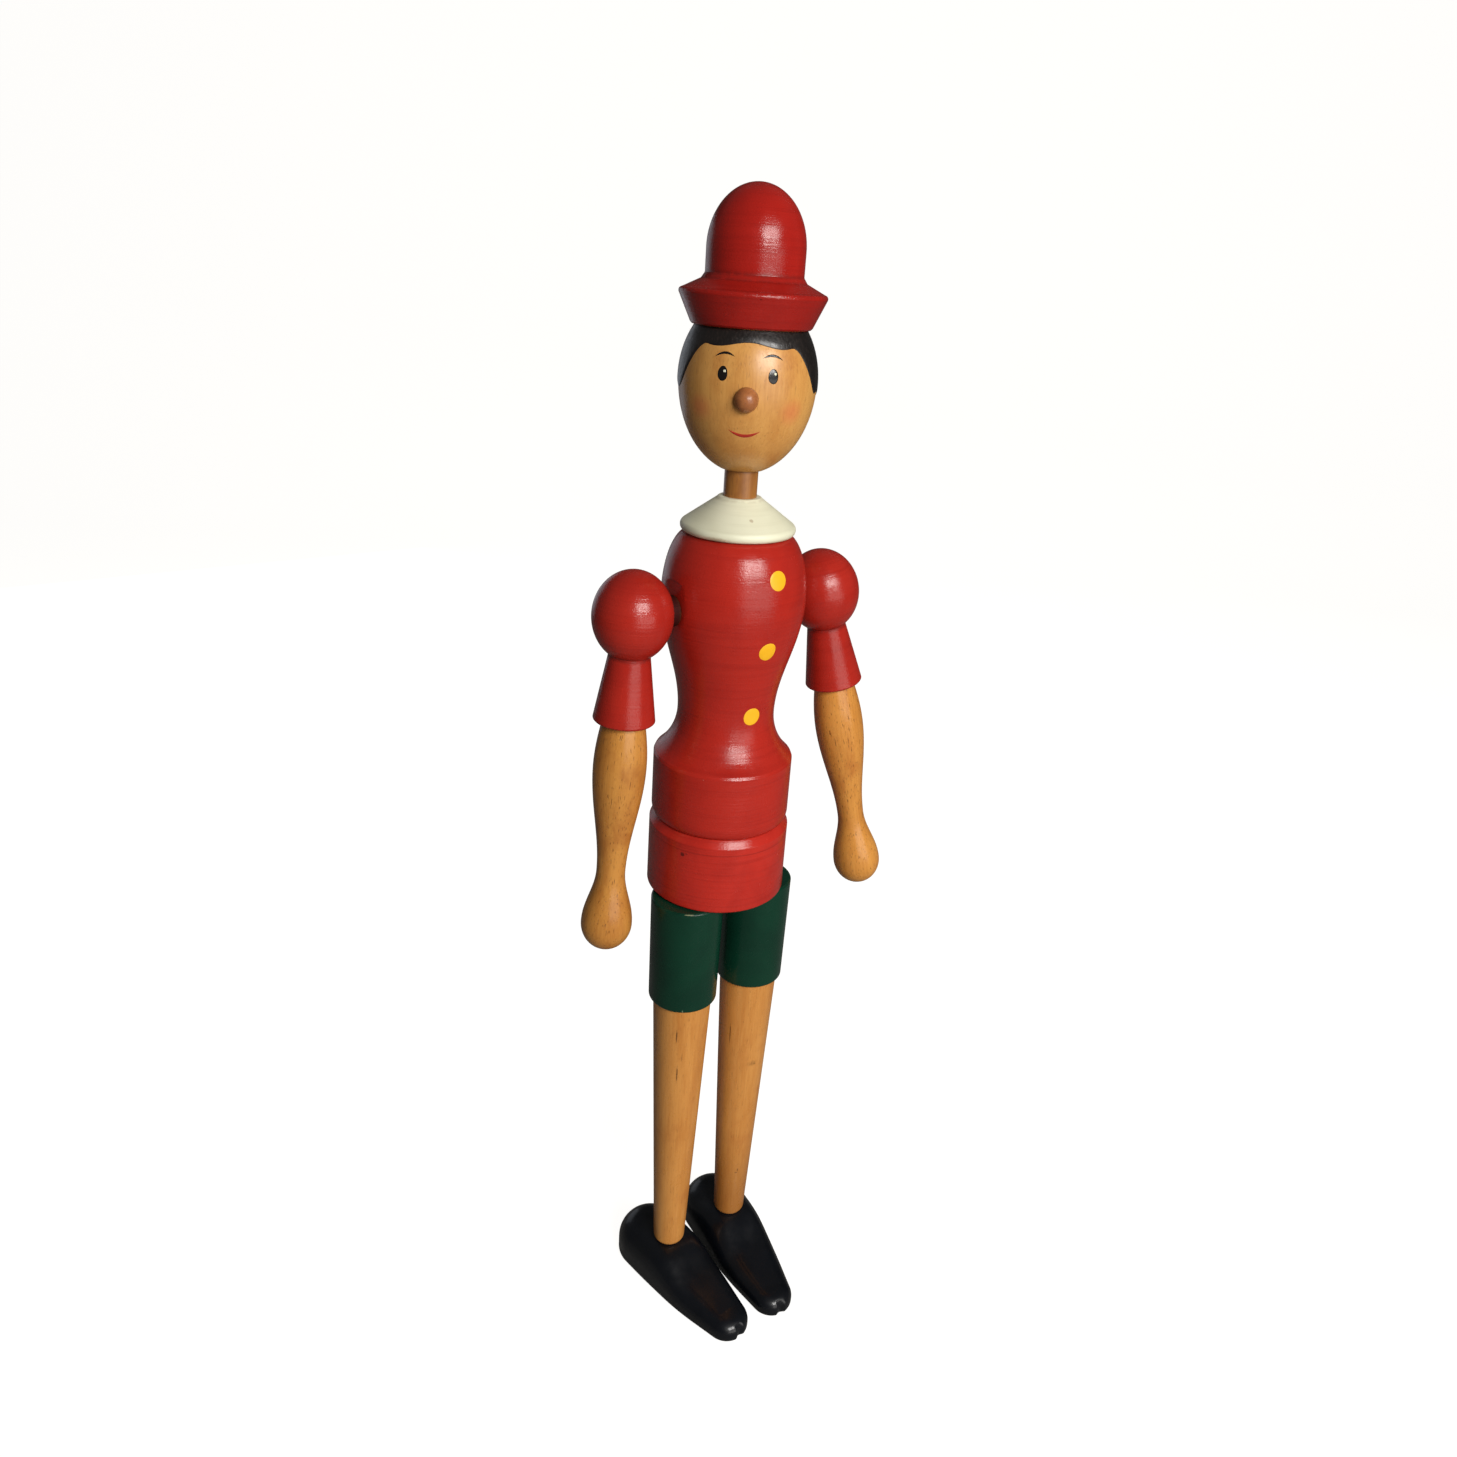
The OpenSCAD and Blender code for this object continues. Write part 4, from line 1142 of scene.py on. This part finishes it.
def shoePlan():  # points round the sole: middle ahead, outward direction, half width, height
    s = shoeShape
    heelX, toeX = s.stations[0][0], s.stations[-1][0]
    plan = []

    def add(x, angle):
        plan.append((x, angle, through(1, x)[0], through(2, x)[0]))

    def lean(x):
        return asin(-through(1, x)[1])

    for side, start, end in ((1, heelX, toeX), (-1, toeX, heelX)):
        for i in range(s.sideSteps):
            x = start + (end - start) * i / s.sideSteps
            add(x, side * (pi / 2 - lean(x)))
        edge = pi / 2 - lean(end)
        sweep = 2 * edge if end == toeX else 2 * pi - 2 * edge
        for i in range(s.arcSteps):  # round the tip or the heel
            add(end, side * edge - sweep * i / s.arcSteps)
    return plan


def shoeRows(half, tall):  # share of the half width, height, and how near a worn edge
    s = shoeShape
    roundOff = s.soleRound
    roundSteps, wallSteps, domeSteps = 7, 4, 18
    rows = [(share, 0.0, 0) for share in s.soleShares] + [(1 - roundOff / half, 0.0, 0.8)]
    rows += [(1 - roundOff / half * (1 - sin(a)), roundOff * (1 - cos(a)), 1.0)
             for a in (pi / 2 * i / roundSteps for i in range(1, roundSteps))]
    wall = s.wall * tall
    rows += [(1.0, roundOff + (wall - roundOff) * i / wallSteps, 0.5 if i == 0 else 0)
             for i in range(wallSteps + 1)]
    for i in range(1, domeSteps + 1):
        a = pi / 2 * i / domeSteps
        share = (1 - s.dome) + s.dome * cos(a)
        rows.append((share, wall + (tall - wall) * sin(a), 0))
    rows += [(share, tall, 0) for share in s.topShares]
    crowned = []
    for share, up, edge in rows:
        if up > wall:
            egg = wall + (tall - wall) * sqrt(max(0.0, 1 - share * share))
            up += (min(egg, up) - up) * s.crown
        crowned.append((share, up, edge))
    return crowned


def makeShoe(side, word):
    s = shoeShape
    bm = bmesh.new()
    edgeLayer = bm.verts.layers.float.new("edge")
    columns = []
    for x, angle, half, tall in shoePlan():
        column = []
        for share, up, edge in shoeRows(half, tall):
            out = half * share
            aside = out * sin(angle)
            ahead = x + out * cos(angle)
            tip = ease(cos(angle), s.tipFrom, 1.0) if x >= s.stations[-1][0] else 0.0
            notch = max(0.0, 1 - (aside / s.notchWide) ** 2) ** 1.5 * tip * ease(share, s.notchFrom, 1.0)
            vert = bm.verts.new((aside * mm, -(ahead - s.notchDeep * notch) * mm, up * mm))
            rubbed = 0 if notch > s.notchDark else s.tipRub * tip * ease(share, s.rubFrom, 1.0)
            vert[edgeLayer] = max(edge, rubbed)
            column.append(vert)
        columns.append(column)
    skin(bm, zip(columns, columns[1:] + columns[:1]), closed=False)
    bmesh.ops.remove_doubles(bm, verts=bm.verts, dist=s.merge * mm)
    bmesh.ops.dissolve_degenerate(bm, edges=bm.edges, dist=s.sliver * mm)
    piece = placed("shoe" + word, meshFrom("shoe", bm), legPlace(side))
    cutAway(piece, [rodCutter(s.ankleBore, s.boreFrom, heelTop + 2 * past, legPlace(side))])
    return piece


blackPaint = makePaint("blackShoePaint", blackLook, [
    mark((3.0, -57.0, 7.6), (2.0, 2.0, 1.0), (70, 66, 62), strength=0.5, soft=0.8),
    mark((-9.0, -40.0, 10.0), (1.6, 1.6, 0.5), (60, 56, 52), strength=0.5),
    mark((12.0, -20.0, 15.0), (2.6, 1.0, 0.5), (54, 51, 48), strength=0.5)])
for side, _ in sides:
    finishSide(side, makeShoe, blackPaint, "shoe_", shoeShape)
print("shoes done")


# Pegs, screws, washers and the elastic stay as packed and get their finishes

def makeSteel():
    material, tree, shader = startFinish("plainSteel")
    place = packedMillimetres(tree)
    spun = drawn(tree, place, 2.4, 0.6, detail=3.0)
    dim = cloud(tree, place, detail=4.0, scale=0.4)
    colour = tint(tree, between(tree, dim, 0.5, 0.75), (178, 180, 184), (128, 122, 114))
    setShader(tree, shader, colour, between(tree, spun, 0.3, 0.7, 0.28, 0.48), spun, 0.02, Metallic=1.0)
    return material


def makeElastic():
    material, tree, shader = startFinish("wovenElastic")
    feed = {"Vector": packedMillimetres(tree), "Scale": 1.2, "Distortion": 1.0}
    weave = put(tree, "TexWave", feed, wave_type="BANDS", bands_direction="DIAGONAL").outputs["Fac"]
    colour = tint(tree, weave, (232, 228, 216), (196, 190, 176))
    setShader(tree, shader, colour, between(tree, weave, 0.0, 1.0, 0.7, 0.9), weave, 0.2)
    return material


def makePegWood():
    material, tree, shader = startFinish("rawPegWood")
    place = packedMillimetres(tree)
    fine = drawn(tree, place, 1.3, 0.05, detail=3.0, rough=0.6)
    pores = between(tree, drawn(tree, place, 2.1, 0.24, detail=1.0), 0.62, 0.74)
    colour = tint(tree, between(tree, fine, 0.35, 0.66), (220, 188, 140), (198, 160, 110))
    colour = tint(tree, times(tree, pores, 0.5), colour, (140, 98, 58))
    setShader(tree, shader, colour, between(tree, fine, 0.3, 0.7, 0.55, 0.7), fine, 0.05)
    return material


steel, pegWood = makeSteel(), makePegWood()
innerFinish = {"screw": steel, "washer": steel, "cord": makeElastic(), "peg": pegWood, "dowel": pegWood}
shownNodes = {node for piece in scene.objects for node in piece.get("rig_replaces", [])}
for node, piece in frame["nodes"].items():
    if node in shownNodes:
        continue
    finish = next(f for word, f in innerFinish.items() if word in node)
    if not piece.material_slots:
        piece.data.materials.append(finish)
    for slotted in piece.material_slots:
        slotted.material = finish
print("inner pieces finished")


# Floor, lamps and surroundings

studio = Settings(
    floorBack=2.4, floorFront=3.0, halfWide=4.0, sweep=0.8, wallTall=2.6, floorColour=(122, 121, 119),
    floorPatch=(132, 132, 130), liftColour=(254, 253, 251), floorLift=0.96,
    worldColour=(1.0, 0.98, 0.95, 1.0), worldStrength=0.09, worldLift=0.92, aimUp=330.0)
pane = Settings(
    azimuth=23, elevation=28, away=1.6, size=(0.38, 0.56), power=12.4, colour=(1.0, 0.985, 0.96))
lamps = {  # azimuth counts from the camera towards its right, in degrees; sizes and distances in metres
    "paneNear": pane,
    "paneFar": Settings(pane, azimuth=42),
    "sillGlow": Settings(azimuth=40, elevation=-1, away=1.6, size=(1.50, 0.56), power=6.5,
                         colour=(1.0, 0.96, 0.92)),
    "leftRim": Settings(azimuth=-142, elevation=4, away=1.6, size=(1.0, 0.9), power=1.8,
                        colour=(0.85, 0.9, 1.0)),
    "backSoft": Settings(azimuth=172, elevation=38, away=1.7, size=(1.4, 0.9), power=8.0,
                         colour=(1.0, 0.98, 0.96), mirrored=False)}
aim = Vector((axisX, axisY, studio.aimUp)) * mm


def makeFloor():
    s = studio
    outline, steps = [(-s.floorFront, 0.0), (s.floorBack - s.sweep, 0.0)], 24
    outline += [(s.floorBack - s.sweep + s.sweep * sin(a), s.sweep * (1 - cos(a)))
                for a in (pi / 2 * i / steps for i in range(1, steps + 1))]
    outline.append((s.floorBack, s.wallTall))
    bm = bmesh.new()
    rows = [[bm.verts.new((side * s.halfWide, y, z)) for side in (-1, 1)] for y, z in outline]
    skin(bm, zip(rows, rows[1:]), closed=False)
    mesh = bpy.data.meshes.new("floor")
    bm.to_mesh(mesh)
    bm.free()
    mesh.shade_smooth()
    material, tree, shader = startFinish("paleFloor")
    soft = cloud(tree, put(tree, "TexCoord").outputs["Object"], detail=3.0, scale=3.0)
    colour = tint(tree, between(tree, soft, 0.3, 0.7, 0.0, 0.25), s.floorColour, s.floorPatch)
    setShader(tree, shader, colour, between(tree, soft, 0.3, 0.7, 0.75, 0.9), soft, 0.02)
    seen = put(tree, "LightPath").outputs["Is Camera Ray"]  # the lift whitens the floor and lights nothing
    lift = times(tree, seen, s.floorLift)
    connect(tree, shader, {"Emission Color": s.liftColour, "Emission Strength": lift})
    mesh.materials.append(material)
    placed("floor", mesh, onAxis() @ turned("Z", shot.azimuth))


def makeLamp(name, look):
    data = bpy.data.lights.new(name, "AREA")
    data.shape = "RECTANGLE"
    data.size, data.size_y = look.size
    data.energy = look.power
    data.color = look.colour
    turn, lift = radians(shot.azimuth + look.azimuth), radians(look.elevation)
    way = Vector((sin(turn) * cos(lift), -cos(turn) * cos(lift), sin(lift)))
    lamp = bpy.data.objects.new(name, data)
    scene.collection.objects.link(lamp)
    lamp.visible_glossy = look.get("mirrored", True)
    facing = way.to_track_quat("Z", "Y").to_matrix().to_4x4()
    lamp.matrix_world = Matrix.Translation(aim + way * look.away) @ facing


def makeWorld():
    world = bpy.data.worlds.new("paleRoom")
    world.use_nodes = True
    tree = world.node_tree
    air = tree.nodes["Background"]
    air.inputs["Color"].default_value = studio.worldColour
    seen = put(tree, "LightPath").outputs["Is Camera Ray"]  # a pale room that gives little light
    strength = plus(tree, times(tree, seen, studio.worldLift), studio.worldStrength)
    connect(tree, air, {"Strength": strength})
    scene.world = world


makeFloor()
for name, look in lamps.items():
    makeLamp(name, look)
makeWorld()
scene.view_settings.view_transform = "Standard"
print("floor and lamps set")
